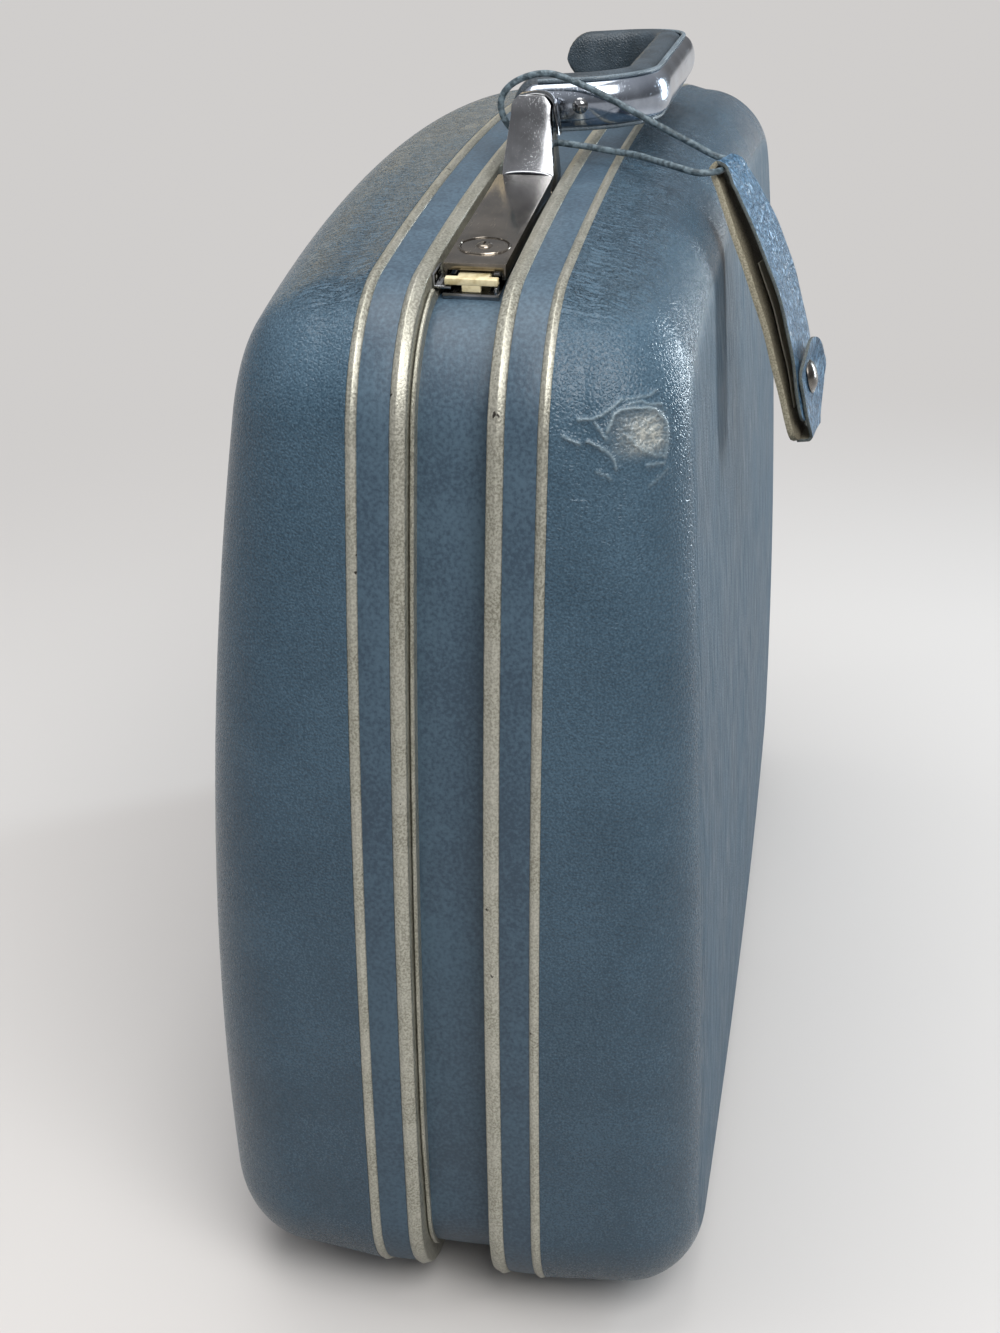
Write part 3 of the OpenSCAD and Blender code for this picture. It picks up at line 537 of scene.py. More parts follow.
shell_vinyl = knocked(*grained_vinyl("shell_vinyl", (0.033, 0.066, 0.100), (0.083, 0.145, 0.203)))
for body, face, side in (("body", body_face, 1), ("lid", lid_face, -1)):
    shell_outside = [ring_at(rim_inset, lip_y), ring_at(rim_inset, piping_y), ring_at(shell_inset, piping_y),
                     ring_at(shell_inset + wall_draft * 0.001, piping_y + 0.001),
                     ring_in(face, wall_end(face), edge_r)] + edge_and_face(face, 0)
    shell = lofted(shell_outside[::-1] + inside_rings(face, lip_y, shell_t),
                   face_middle(face, 0), face_middle(face, shell_t), side)
    cover = make_piece(body + "_shell_cover", *shell, shell_vinyl, body, "grained_vinyl", body + "_shell",
                       sharp=50)
    if body == "body":
        press_knock(cover)

# Frames: bent metal rings with a champagne finish. Each has a lip with a soft ridge; the body's runs
# on under the channel to a low upstand, which the lid's frame closes against.
channel_half = 0.0142
lid_edge = 0.01445
frame_t = 0.002
lip_top = 0.0003
flange_inset = rim_inset + shell_t
web_inset = channel_depth
upstand_y = -0.01395
upstand_t = 0.0016
upstand_low = 0.0025
upstand_high = 0.0060
rise_low = 0.060
rise_long = 0.040
keeper_x = (0.2275, 0.2500)
hinge_x = 0.150
hinge_half = 0.0303


def lip_section(inner_y):
    """The lip from the foot of the channel wall over its ridge to the band, as (y, inset)."""
    return [(inner_y, web_inset), (inner_y, 0.0024), (inner_y + 0.0002, 0.0018), (inner_y + 0.0006, 0.0015),
            (inner_y + 0.0032, 0.0004), (inner_y + 0.0035, lip_top), (inner_y + 0.0039, 0.0004),
            (lip_y - 0.0005, 0.0012), (lip_y - 0.0001, 0.0016), (lip_y, 0.0022), (lip_y, flange_inset),
            (band_y, flange_inset),
            (band_y, flange_inset + frame_t), (inner_y + frame_t, flange_inset + frame_t),
            (inner_y + frame_t, web_inset + frame_t)]


def upstand_section(height):
    top = web_inset - height
    far = upstand_y + upstand_t
    return [(upstand_y, web_inset + frame_t), (upstand_y, top + 0.0004), (upstand_y + 0.0004, top),
            (far - 0.0004, top), (far, top + 0.0004), (far, web_inset)]


def upstand_height(x, z):
    """Height of the upstand: high along the top and the ends, low underneath and cut away for the hinges."""
    if z < base_z + 2 * channel_depth and abs(abs(x) - hinge_x) < hinge_half:
        return 0.0
    if z > face_mid_z and keeper_x[0] < abs(x) < keeper_x[1]:
        return upstand_low
    return upstand_low + (upstand_high - upstand_low) * clamped((z - rise_low) / rise_long)


def ring_of_section(section, side):
    """Sweeps a section of (y, inset) round the case; section may depend on the place (x, z)."""
    samples = [section(x, z) for x, z in case_line(0)]
    lines = {inset: case_line(inset) for sample in samples for y, inset in sample}
    verts = [(lines[inset][i][0], side * y, lines[inset][i][1])
             for i, sample in enumerate(samples) for y, inset in sample]
    return verts, grid_faces(len(samples), len(samples[0]), loop=True)


def champagne_metal():
    """Anodised metal with a fine tooth, rubbed brighter in places and chipped dark in others."""
    made = start_material("champagne_metal", 0.42, 0.75)
    tooth = noise(made, 1100, 3)
    rubbed = noise(made, 60, 4).fade(0.35, 0.7)
    chips = noise(made, 190, 3).fade(0.71, 0.74)
    colour = tooth.fade(0.34, 0.66).mix((0.255, 0.250, 0.205), (0.50, 0.495, 0.425))
    colour = (rubbed * 0.30).mix(colour, (0.62, 0.61, 0.55))
    colour = chips.mix(colour, (0.05, 0.045, 0.04))
    rough = tooth.fade(0.3, 0.7, 0.36, 0.52)
    return finish_material(made, colour=colour, roughness=rough, normal=bumps(made, (tooth, 0.00025, 0.6)))


champagne = champagne_metal()
body_rail = ring_of_section(lambda x, z: lip_section(channel_half) + upstand_section(upstand_height(x, z)), 1)
lid_rail = ring_of_section(lambda x, z: lip_section(lid_edge)[1:] + [(lid_edge, web_inset + frame_t)], -1)
for body, rail in (("body", body_rail), ("lid", lid_rail)):
    make_piece(body + "_frame_rail", *rail, champagne, body, "champagne_metal", body + "_frame")

# Bands: smooth vinyl strips laid in beside each lip and along the channel's floor, glued down, with
# their long edges pressed under the metal.
band_t = 0.0008
band_crown = 0.0003


def smooth_vinyl():
    made = start_material("band_vinyl", 0.46)
    speckle = noise(made, 700, 4)
    mottle = noise(made, 28, 5)
    tone = (speckle * 0.6 + mottle * 0.4).fade(0.36, 0.64)
    colour = tone.mix((0.034, 0.063, 0.097), (0.072, 0.124, 0.174))
    scuffs = noise(made, 1, 4, (150, 400, 40))
    normal = bumps(made, (scuffs, 0.0006, 0.2), (speckle, 0.0002, 0.5))
    return finish_material(made, colour=colour, roughness=mottle.fade(0.3, 0.7, 0.42, 0.54), normal=normal)


def band_section(y0, y1, under):
    steps = 8
    top = [(y0 + (y1 - y0) * i / steps, under - band_t + band_crown * (2 * i / steps - 1) ** 2)
           for i in range(steps + 1)]
    return top + [(y1, under), (y0, under)]


band_vinyl = smooth_vinyl()
for name, body, y0, y1, under, side in (
        ("body_band", "body", lip_y, band_y, rim_inset, 1),
        ("lid_band", "lid", lip_y, band_y, rim_inset, -1),
        ("channel_band", "body", upstand_y + upstand_t, channel_half, web_inset, 1)):
    strip = ring_of_section(lambda x, z: band_section(y0, y1, under), side)
    make_piece(name + "_strip", *strip, band_vinyl, body, "smooth_vinyl", name)

# Piping: a narrow ridged bead of the frames' champagne metal, pressed in over the joint between the
# band and the tucked edge of the shell's vinyl.
bead_low = band_y - 0.0004
bead_high = piping_y + 0.0003
piping_section = [(bead_low, rim_inset), (bead_low, 0.0016), (bead_low + 0.0004, 0.0011),
                  (bead_low + 0.0018, 0.0004), (bead_low + 0.0021, lip_top), (bead_low + 0.0024, 0.0004),
                  (bead_high - 0.0005, 0.0010), (bead_high, 0.0015), (bead_high, rim_inset)]
for body, side in (("body", 1), ("lid", -1)):
    bead = ring_of_section(lambda x, z: piping_section, side)
    make_piece(body + "_piping_bead", *bead, champagne, body, "champagne_metal", body + "_piping")

# Latches: a pressed chrome cover hinged at its handle end, over a base plate riveted to the channel,
# with a nylon bolt that slides in two guides, a leaf spring and a key-lock disc let into the cover.
latch_x = 0.185
latch_h = 0.0097
lock_u = 0.0324
bolt_low = 0.0039
latch_floor = channel_depth - 0.0008
latch_tilt = math.asin(latch_x / (top_r - latch_floor))
latch_z = top_c[1] + math.sqrt((top_r - latch_floor) ** 2 - latch_x ** 2)
slot_of_node = {part["node"]: part["material_slot"] for part in frame["record"]["subparts"]}


def at_latch(side, u, v, w):
    """A point of a latch: u along the channel away from the handle, v across it, w up from the band."""
    x = latch_x + u * math.cos(latch_tilt) + w * math.sin(latch_tilt)
    return (side * x, v, latch_z - u * math.sin(latch_tilt) + w * math.cos(latch_tilt))


def at_lock(side, a, b, h):
    """A point of a latch measured from the middle of its lock disc, h above the cover's top."""
    return at_latch(side, lock_u + a, b, latch_h + h)


def finished_copy(node, material, edge, steps=2, sharp=40):
    """A CAD node's form with its flat faces joined up and its sharp edges rounded off."""
    mesh = frame["nodes"][node].data.copy()
    if "custom_normal" in mesh.attributes:
        mesh.attributes.remove(mesh.attributes["custom_normal"])
    same_place, flat_turn, sharp_turn = 1e-6, math.radians(1), math.radians(35)
    form = bmesh.new()
    form.from_mesh(mesh)
    bmesh.ops.remove_doubles(form, verts=form.verts, dist=same_place)
    bmesh.ops.dissolve_limit(form, angle_limit=flat_turn, verts=form.verts, edges=form.edges)
    form.normal_update()
    corners = [e for e in form.edges if len(e.link_faces) == 2 and e.calc_face_angle(0) > sharp_turn]
    bmesh.ops.bevel(form, geom=corners, offset=edge, offset_type="OFFSET", segments=steps, profile=0.5,
                    affect="EDGES", clamp_overlap=True)
    form.to_mesh(mesh)
    form.free()
    body = frame["nodes"][node]["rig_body"]
    return place_piece(node + "_form", mesh, material, body, slot_of_node[node], node, sharp=sharp)


def plated_metal(name, dull, bright, roughness, scratch):
    """Plated metal: a clouded tone, fine scratches along the case and a slightly uneven surface."""
    made = start_material(name, roughness, 1.0)
    cloud = noise(made, 55, 4)
    marks = noise(made, 1, 3, (60, 2600, 900)).fade(0.62, 0.72)
    rough = cloud.fade(0.25, 0.75, roughness * 0.85, roughness * 1.15) + marks * scratch
    normal = bumps(made, (noise(made, 140, 2), 0.0006, 0.05), (marks, 0.00006, 0.35))
    colour = cloud.fade(0.3, 0.7).mix(dull, bright)
    return finish_material(made, colour=colour, roughness=rough, normal=normal)


# The latch covers' chrome is darkened and tinted brown beyond the plating's own tone: a painted reflection of
# dim brown surroundings.
cover_chrome_painted_reflection = plated_metal("cover_chrome_painted_reflection", (0.15, 0.135, 0.115), (0.27, 0.24, 0.205), 0.17, 0.10)
bright_chrome = plated_metal("bright_chrome", (0.22, 0.225, 0.235), (0.37, 0.38, 0.40), 0.15, 0.08)
zinc_steel = plated_metal("zinc_steel", (0.36, 0.36, 0.35), (0.52, 0.52, 0.50), 0.30, 0.12)
nylon = two_tone("aged_nylon", 0.45, (260, 4), 0.42, 0.72, (0.78, 0.69, 0.45), (0.50, 0.41, 0.21),
                 (900, 3, 0.0003, 0.4))


def turned(profile, count, place, ring=False):
    """A turned form through (radius, height) points, closed at both ends, or a ring whose profile closes."""
    turns = [2 * math.pi * k / count for k in range(count)]
    verts = [place(r * math.cos(t), r * math.sin(t), h) for r, h in profile for t in turns]
    return verts, grid_faces(len(profile), count, loop=True) if ring else tube_faces(len(profile), count)


def rounded_block(low, high, edge, place):
    """A block with its twelve edges rounded; low and high are its corners."""
    form = bmesh.new()
    bmesh.ops.create_cube(form, size=1)
    for v in form.verts:
        v.co = [a + (b - a) * (c + 0.5) for a, b, c in zip(low, high, v.co)]
    bmesh.ops.bevel(form, geom=form.edges[:], offset=edge, segments=3, profile=0.5, affect="EDGES")
    form.verts.index_update()
    verts = [place(*v.co) for v in form.verts]
    faces = [tuple(v.index for v in f.verts) for f in form.faces]
    form.free()
    return verts, faces


def carve(piece, verts, faces, sharp=40):
    """Cuts a shape, given from the parting plane, out of a piece."""
    cutter = bpy.data.objects.new("cutter", closed_mesh("cutter", verts, faces))
    scene.collection.objects.link(cutter)
    cut = piece.modifiers.new("cut", "BOOLEAN")
    cut.operation = "DIFFERENCE"
    cut.solver = "EXACT"
    cut.object = cutter
    bpy.context.view_layer.update()
    carved = bpy.data.meshes.new_from_object(piece.evaluated_get(bpy.context.evaluated_depsgraph_get()))
    piece.modifiers.clear()
    piece.data = carved
    carved.set_sharp_from_angle(angle=math.radians(sharp))
    bpy.data.objects.remove(cutter)


lock_profile = [(0.0001, -0.0021), (0.0064, -0.0021), (0.0065, -0.0014), (0.0090, -0.0014), (0.0090, -0.0002),
                (0.0087, 0.0001), (0.0060, 0.0002), (0.0031, 0.0002), (0.0029, 0.0005), (0.0025, 0.0009),
                (0.0018, 0.0011), (0.0001, 0.0012)]
lock_rim = [(0.00925, -0.0003), (0.00925, 0.0003), (0.0094, 0.0005), (0.0098, 0.0005), (0.0101, 0.0002),
            (0.0102, -0.0003)]
key_slot = ((-0.0019, -0.0004, 0.0003), (0.0019, 0.0004, 0.003), 0.0001)
bolt_stem = ((0.0576, -0.0035, 0.0014), (0.0608, 0.0035, bolt_low + 0.0006), 0.0004)
base_tab = ((0.0570, 0.0086, 0.0008), (0.0613, 0.0098, 0.0036), 0.0003)
for hand, side in (("right", 1), ("left", -1)):
    for node, material, edge, steps in (
            ("lever", cover_chrome_painted_reflection, 0.0007, 3), ("base", bright_chrome, 0.0003, 2),
            ("pin", zinc_steel, 0.0003, 2), ("spring", zinc_steel, 0.0001, 2), ("bolt", nylon, 0.0004, 3)):
        finished_copy(f"{hand}_latch_{node}", material, edge, steps)
    on_latch, on_lock = functools.partial(at_latch, side), functools.partial(at_lock, side)
    lock = make_piece(hand + "_lock_face", *turned(lock_profile, 64, on_lock), cover_chrome_painted_reflection, hand + "_lock",
                      "chrome", hand + "_lock_disc")
    carve(lock, *rounded_block(*key_slot, on_lock))
    make_piece(hand + "_lock_rim", *turned(lock_rim, 64, on_lock, ring=True), cover_chrome_painted_reflection, hand + "_lever",
               "chrome")
    make_piece(hand + "_bolt_stem", *rounded_block(*bolt_stem, on_latch), nylon, hand + "_bolt", "nylon")
    make_piece(hand + "_base_tab", *rounded_block(*base_tab, on_latch), bright_chrome, "body", "chrome")
finished_copy("latch_rivets", zinc_steel, 0.0001)

# Keepers: bent tongues of chromed steel, one to each latch, which the bolts hold down. They are
# riveted to the lid's frame.
for hand in ("right", "left"):
    finished_copy(hand + "_keeper", bright_chrome, 0.0003)
finished_copy("keeper_rivets", zinc_steel, 0.0001)

# Posts: two cast uprights with a sloping front plate, chromed, standing on the channel's floor. A bent
# neck runs over the top towards the handle, and a curved shelf closes the plate's foot.
post_back = 0.100
post_front = 0.1213
post_top = 0.491
post_step_z = 0.4594
neck_line = smooth_route([(0, -0.0035, -0.0004), (0, 0.0015, 0.0005), (0, 0.0060, -0.0002),
                          (0, 0.0089, -0.0030), (0, 0.0095, -0.0068), (0, 0.0105, -0.0110),
                          (0, 0.0112, -0.0160)], 6)
shelf_line = smooth_route([(0, -0.0104, 0.0004), (0, -0.0085, 0.0013), (0, -0.0045, 0.0019), (0, 0.0, 0.0021),
                           (0, 0.0045, 0.0019), (0, 0.0085, 0.0013), (0, 0.0104, 0.0004)], 5)
for hand, side in (("right", 1), ("left", -1)):
    finished_copy(hand + "_handle_post", bright_chrome, 0.0008, 2)
    for name, line, x, z, section in (
            ("_post_neck", neck_line, post_back + 0.0062, post_top, oval(0.0100, 0.0016, 16)),
            ("_post_shelf", shelf_line, post_front - 0.0010, post_step_z, oval(0.0022, 0.0011, 12))):
        path = [Vector((side * x, p.y, z + p.z)) for p in line]
        make_piece(hand + name, *swept_tube(path, section, (1, 0, 0)), bright_chrome, "body", "chrome")
finished_copy("handle_pins", zinc_steel, 0.0004)

# Handle: a steel bail clad in a half-round chrome band on its outside and a padded vinyl grip on its
# inside, with a welt sewn along each joint and a domed rivet near each end.
handle_half = 0.094
handle_reach = 0.053
handle_corner = 0.036
pivot_z = 0.4835
handle_rest = math.radians(4)


def at_handle(x, out, up):
    """A point of the resting handle: out from its pivot, up off its own plane."""
    return (x, out * math.cos(handle_rest) - up * math.sin(handle_rest),
            pivot_z + out * math.sin(handle_rest) + up * math.cos(handle_rest))


def bail_line(inset, end):
    """Points (x, out) of the handle's U, drawn in by inset, from below one pivot round to the other."""
    half, reach, corner = handle_half - inset, handle_reach - inset, handle_corner - inset
    tip_steps, arm_steps, bend_steps, run_steps = 7, 8, 16, 14
    tip = [(half, -end * math.cos(math.pi / 2 * i / tip_steps)) for i in range(tip_steps)]
    arm = [(half, (reach - corner) * i / arm_steps) for i in range(arm_steps)]
    bend = arc((half - corner, reach - corner), corner, 0, math.pi / 2, bend_steps)
    run = [(half - corner) * (1 - i / run_steps) for i in range(run_steps)]
    near = tip + arm + bend + [(x, reach) for x in run]
    return near + [(0, reach)] + [(-x, out) for x, out in reversed(near)]


def bail_sweep(section, end, closing=True):
    """Carries a section of (inset, up) round the handle; closing draws its ends in round the pivots."""
    lines = [bail_line(inset, end) for inset, up in section]
    verts = []
    for i in range(len(lines[0])):
        for (inset, up), line in zip(section, lines):
            x, out = line[i]
            shrink = math.sqrt(max(0.004, 1 - (min(out, 0) / end) ** 2)) if closing else 1
            verts.append(at_handle(x, out, up * shrink))
    return verts, tube_faces(len(lines[0]), len(section))


def joined(forms):
    """Vertices and faces of several forms as one."""
    verts, faces = [], []
    for more_verts, more_faces in forms:
        faces += [tuple(i + len(verts) for i in f) for f in more_faces]
        verts += more_verts
    return verts, faces


def pivot_rods(radius, x0, x1):
    """Two rods along the handle's pivot line, for boring the handle's ends."""
    rod = [(radius, x0), (radius, x1)]
    return joined(turned(rod, 32, lambda a, b, h: (side * h, a, pivot_z + b)) for side in (1, -1))


def grip_vinyl_finish(name, dark, light):
    """Padded vinyl: soft pebble grain with finer pores, mottled in tone."""
    made = start_material(name, 0.42)
    pores = noise(made, 1600, 3)
    mottle = noise(made, 60, 4)
    colour = (pores + mottle).fade(0.7, 1.3).mix(dark, light)
    normal = bumps(made, (noise(made, 90, 3), 0.002, 0.25), (pebbles(made, 700), 0.0004, 0.4),
                   (pores, 0.0002, 0.5))
    return finish_material(made, colour=colour, roughness=mottle.fade(0.3, 0.7, 0.34, 0.5), normal=normal)


# The handle's chrome is a lighter, bluer copy of the other chrome: a painted reflection.
handle_chrome_painted_reflection = plated_metal("handle_chrome_painted_reflection", (0.33, 0.37, 0.44), (0.48, 0.53, 0.61), 0.16, 0.08)
band_half = 0.0092
dome_deep = 0.0050
dome_turns = [math.pi * (i / 16 - 0.5) for i in range(17)]
dome = [(dome_deep * (1 - math.cos(t)), band_half * math.sin(t)) for t in dome_turns]
dome += [(dome_deep + 0.0002, band_half * 0.7), (dome_deep + 0.0002, -band_half * 0.7)]
handle_dome = make_piece("handle_dome", *bail_sweep(dome, 0.0088), handle_chrome_painted_reflection, "handle", "chrome",
                         "handle_band", "handle_core")
carve(handle_dome, *pivot_rods(0.0031, handle_half - 0.0080, handle_half + 0.003))


def pad_point(turn):
    """A point of the grip's padded section, full at its sides and flat across its inside."""
    c, s = math.cos(turn), math.sin(turn)
    inset = pad_middle + pad_deep * math.copysign(abs(s) ** 0.62, s)
    return inset, pad_half * math.copysign(abs(c) ** 0.55, c) * (1 - 0.10 * (inset < pad_middle) * abs(s))


pad_middle = 0.0126
pad_deep = 0.0074
pad_half = 0.0118
pad_section = [pad_point(2 * math.pi * k / 36) for k in range(36)]
grip_vinyl = grip_vinyl_finish("grip_vinyl", (0.020, 0.032, 0.043), (0.056, 0.080, 0.104))
grip = make_piece("handle_pad", *bail_sweep(pad_section, pad_half), grip_vinyl, "handle", "handle_vinyl",
                  "handle_grip", sharp=60)
carve(grip, *pivot_rods(0.0050, handle_half - 0.0086, handle_half - 0.003), sharp=60)

welt_vinyl = grip_vinyl_finish("welt_vinyl", (0.10, 0.135, 0.165), (0.19, 0.245, 0.29))
welt_w = 0.0020
welt_inset = 0.0050
for name, up in (("upper_welt", 0.0100), ("lower_welt", -0.0100)):
    welt_section = [(welt_inset + a, up + b) for a, b in oval(welt_w, welt_w, 10)]
    make_piece("handle_" + name, *bail_sweep(welt_section, 0.0001, closing=False), welt_vinyl, "handle",
               "handle_vinyl")
finished_copy("handle_rivets", bright_chrome, 0.0001)

# Luggage tag: one strip of light blue grained vinyl folded over the thong into two leaves, with raw
# beige edges and a paper card between them. Its foot comes up over the front as a flap with a domed
# snap, and the whole tag has taken a twist from hanging.
tag_top = (0.113, 0.082, 0.4644)
tag_turn = math.radians(-14)
tag_lean = math.radians(31)
tag_foot_lean = math.radians(9)
tag_long = 0.115
tag_front_long = 0.107
tag_half = 0.021
fold_half = 0.0105
back_t = 0.0026
front_t = 0.0013
leaf_y = 0.0033
flap_y = 0.0050
flap_z = -0.0914
flap_r = 0.019
flap_rise = 0.015
flap_foot = 0.012
flap_lift = 0.0042
tag_twist = math.radians(7)
taper_long = 0.062
low_corner = 0.006
bow_r = tag_long / (tag_foot_lean - tag_lean)


def at_tag(x, y, z):
    """A point of the hanging tag, which bows and twists: x across, y out through it, z up from its fold."""
    share = -z / tag_long
    twist = tag_twist * clamped(share * 2)
    x, y = x * math.cos(twist) - y * math.sin(twist), x * math.sin(twist) + y * math.cos(twist)
    lean = tag_lean + (tag_foot_lean - tag_lean) * share
    out = y * math.cos(lean) + bow_r * (math.cos(tag_lean) - math.cos(lean))
    up = y * math.sin(lean) - bow_r * (math.sin(lean) - math.sin(tag_lean))
    return (tag_top[0] + x * math.cos(tag_turn) - out * math.sin(tag_turn),
            tag_top[1] + x * math.sin(tag_turn) + out * math.cos(tag_turn), tag_top[2] + up)


def leaf_half(z, long):
    """Half width of a leaf at height z: a long taper from the fold and rounded lower corners."""
    share = min(-z / taper_long, 1)
    half = fold_half + (tag_half - fold_half) * share * (2 - share)
    low = clamped((-z - (long - low_corner)) / low_corner)
    return half - low_corner * (1 - math.sqrt(1 - low * low))


def crinkle(x, y, z):
    """Puckers where the strip is bent round the thong, dying out below the fold, and a slight waviness."""
    near = clamped((z + 0.016) / 0.014)
    pucker = mathutils.noise.noise(Vector((420 * x, 420 * y, 300 * z)))
    return 0.0009 * near * pucker + 0.00025 * math.sin(170 * x + 90 * z) * math.sin(150 * z)


def strip_piece(line, name, materials, slot, *nodes, curl=0.0, face_in=False):
    """A strip along a line of (y, z, half width, thickness, edge); materials: face, raw edges, backing."""
    columns = [-1 + i / 12 for i in range(25)]
    verts = []
    for i, (y, z, half, thick, edge) in enumerate(line):
        before, after = line[max(i - 1, 0)], line[min(i + 1, len(line) - 1)]
        run_y, run_z = after[0] - before[0], after[1] - before[1]
        size = math.hypot(run_y, run_z)
        out_y, out_z = -run_z / size, run_y / size
        trims = [(c * (half - 0.0003 * (abs(c) == 1)), thick / 2) for c in columns] + [(half, 0)]
        trims += [(-x, -t) for x, t in trims]
        rise = clamped((z + tag_long - 0.003) / 0.024)
        for x, t in trims:
            off = t + crinkle(x, y, z) - curl * rise * min(x / tag_half, 0) ** 2
            verts.append(at_tag(x, y + out_y * off, z + out_z * off))
    count = 2 * len(columns) + 2
    edges = {len(columns) - 1, len(columns), count - 2, count - 1}
    backing = len(materials) - 1
    raw = [line[k // count][4] if k % count in edges else backing * ((k % count > len(columns)) != face_in)
           for k in range((len(line) - 1) * count)]
    piece = make_piece(name, verts, tube_faces(len(line), count), materials[0], "tag", slot, *nodes, sharp=50)
    for material in materials[1:]:
        piece.data.materials.append(material)
    piece.data.polygons.foreach_set("material_index", raw + [line[0][4], line[-1][4]])


def tag_vinyl_finish():
    """Grained vinyl drawn out along the tag, its tone and gloss varied by the grain."""
    made = start_material("tag_vinyl", 0.42, specular=0.35)
    grain = noise(made, 1, 5, (800, 800, 220))
    speckle = noise(made, 900, 4)
    colour = (grain + speckle).fade(0.86, 1.14).mix((0.036, 0.105, 0.195), (0.160, 0.315, 0.500))
    normal = bumps(made, (ridged(grain).fade(0.0, 0.1), 0.0010, 0.9), (speckle, 0.0004, 0.6))
    return finish_material(made, colour=colour, roughness=grain.fade(0.3, 0.7, 0.24, 0.40), normal=normal)


leaf_materials = [tag_vinyl_finish()] + [
    two_tone(name, 0.8, (1500, 4), 0.3, 0.7, dark, light, (1500, 4, 0.0003, 0.7)) for name, dark, light in (
        ("beige_edge", (0.20, 0.18, 0.125), (0.42, 0.385, 0.29)),
        ("dark_edge", (0.045, 0.060, 0.065), (0.14, 0.155, 0.145)),
        ("raw_backing", (0.10, 0.088, 0.060), (0.24, 0.215, 0.155)))]
leaf_steps = 64
back_line = []
for i in range(leaf_steps):
    z = -tag_long * (1 - i / leaf_steps)
    close = clamped((-z - 0.080) / 0.035)
    y = -leaf_y - 0.0008 * math.sin(math.pi * i / leaf_steps) + 0.0024 * close * close
    back_line.append((y, z, leaf_half(z, tag_long), back_t, 1))
fold_line = []
for i in range(17):
    turn = math.pi * i / 16
    thick = back_t + (front_t - back_t) * i / 16
    fold_line.append((-leaf_y * math.cos(turn), leaf_y * math.sin(turn), fold_half, thick, 1 + (i > 8)))
front_line = []
for i in range(1, leaf_steps + 1):
    z = -tag_front_long * i / leaf_steps
    bow = 0.0016 * math.sin(math.pi * min(-z / 0.095, 1))
    front_line.append((leaf_y + bow, z, leaf_half(z, tag_front_long), front_t, 2))
strip_piece(back_line + fold_line + front_line, "tag_leaves", leaf_materials, "tag_vinyl", "tag_back",
            "tag_front")


def flap_out(z):
    """How far out the flap lies at height z: its free end above the snap lifts off the leaf."""
    lift = clamped((z - flap_z - 0.002) / 0.013)
    return flap_y + flap_lift * lift * lift * (3 - 2 * lift)


def flap_half(z):
    """Half width of the flap at height z: sides that swell up from its foot, then a round end."""
    start = flap_z - flap_rise * math.sin(math.radians(20))
    if z > start:
        return flap_r * math.sqrt(max(1 - ((z - flap_z) / flap_rise) ** 2, 0.03))
    side = flap_r * math.cos(math.radians(20))
    return flap_foot + (side - flap_foot) * math.sin(math.pi / 2 * (z + tag_long) / (start + tag_long))


flap_line = [(-0.0010 + 0.0048 * i / 8, -tag_long - 0.0007, flap_foot, front_t, 2) for i in range(9)]
for i in range(1, 5):
    back = 0.0010 * math.cos(math.pi / 2 * i / 4)
    flap_line.append((flap_y - back, -tag_long + 0.0003 - back, flap_foot, front_t, 2))
for i in range(1, 41):
    z = -tag_long + (flap_z + flap_rise * 0.985 + tag_long) * i / 40
    flap_line.append((flap_out(z), z, flap_half(z), front_t, 2))
strip_piece(flap_line, "tag_flap", leaf_materials, "tag_vinyl", "tag_tab", curl=0.0058, face_in=True)
snap_profile = [(0.0072, 0.0), (0.0075, 0.0005), (0.0072, 0.0010), (0.0066, 0.0009), (0.0062, 0.0013),
                (0.0053, 0.0021), (0.0038, 0.0027), (0.0020, 0.0030), (0.0001, 0.0031)]
snap_cap = turned(snap_profile, 48, lambda a, b, h: at_tag(a, flap_y + front_t / 2 + h, b + flap_z))
snap_bronze = plated_metal("snap_bronze", (0.085, 0.080, 0.075), (0.24, 0.225, 0.205), 0.24, 0.05)
make_piece("tag_snap_cap", *snap_cap, snap_bronze, "tag", "chrome", "tag_snap")


def card_finish():
    made = start_material("paper_card", 0.85)
    fibre = noise(made, 500, 5)
    colour = fibre.mix((0.62, 0.58, 0.48), (0.78, 0.75, 0.66))
    return finish_material(made, colour=colour, normal=bumps(made, (fibre, 0.0002, 0.4)))


card_low = -0.102
card_long = 0.062
card_half = 0.0105
card_t = 0.0006
card_line = [(-0.0008, card_low + card_long * i / 16, card_half, card_t, 0) for i in range(17)]
strip_piece(card_line, "tag_paper", [card_finish()], "card", "tag_card")

# Hinges: leaves pressed from zinc-plated steel, their knuckles rolled round a wire pin. They are riveted
# in the channel under the case.
for node in ("hinge_leaf_body", "hinge_leaf_lid", "hinge_pins", "hinge_rivets_body", "hinge_rivets_lid"):
    finished_copy(node, zinc_steel, 0.0002)

# Feet: four glides moulded in dark plastic, two to each half and scuffed from use. They are pressed
# into the underside.
glide = two_tone("glide_plastic", 0.6, (220, 4), 0.4, 0.75, (0.020, 0.024, 0.032), (0.07, 0.075, 0.08),
                 (900, 3, 0.0003, 0.4))
for node in ("body_feet", "lid_feet"):
    finished_copy(node, glide, 0.0006, 3)

# Linings: beige satin cloth with a faint moire, cut to the inside of each shell. It is glued down and
# turned in at the rim.
lining_out = 0.0033
lining_in = 0.0045
lining_rim = band_y + 0.0003


def satin_cloth():
    """Satin: a fine warp-faced weave with a soft sheen and faint moire."""
    made = start_material("lining_satin", 0.48, sheen=0.35)
    moire = noise(made, 1, 4, (16, 16, 60))
    warp = noise(made, 1, 2, (2400, 2400, 260))
    colour = (moire + warp * 0.5).fade(0.5, 1.0).mix((0.38, 0.33, 0.25), (0.58, 0.53, 0.44))
    normal = bumps(made, (moire, 0.002, 0.2), (warp, 0.0002, 0.5))
    return finish_material(made, colour=colour, normal=normal)


satin = satin_cloth()


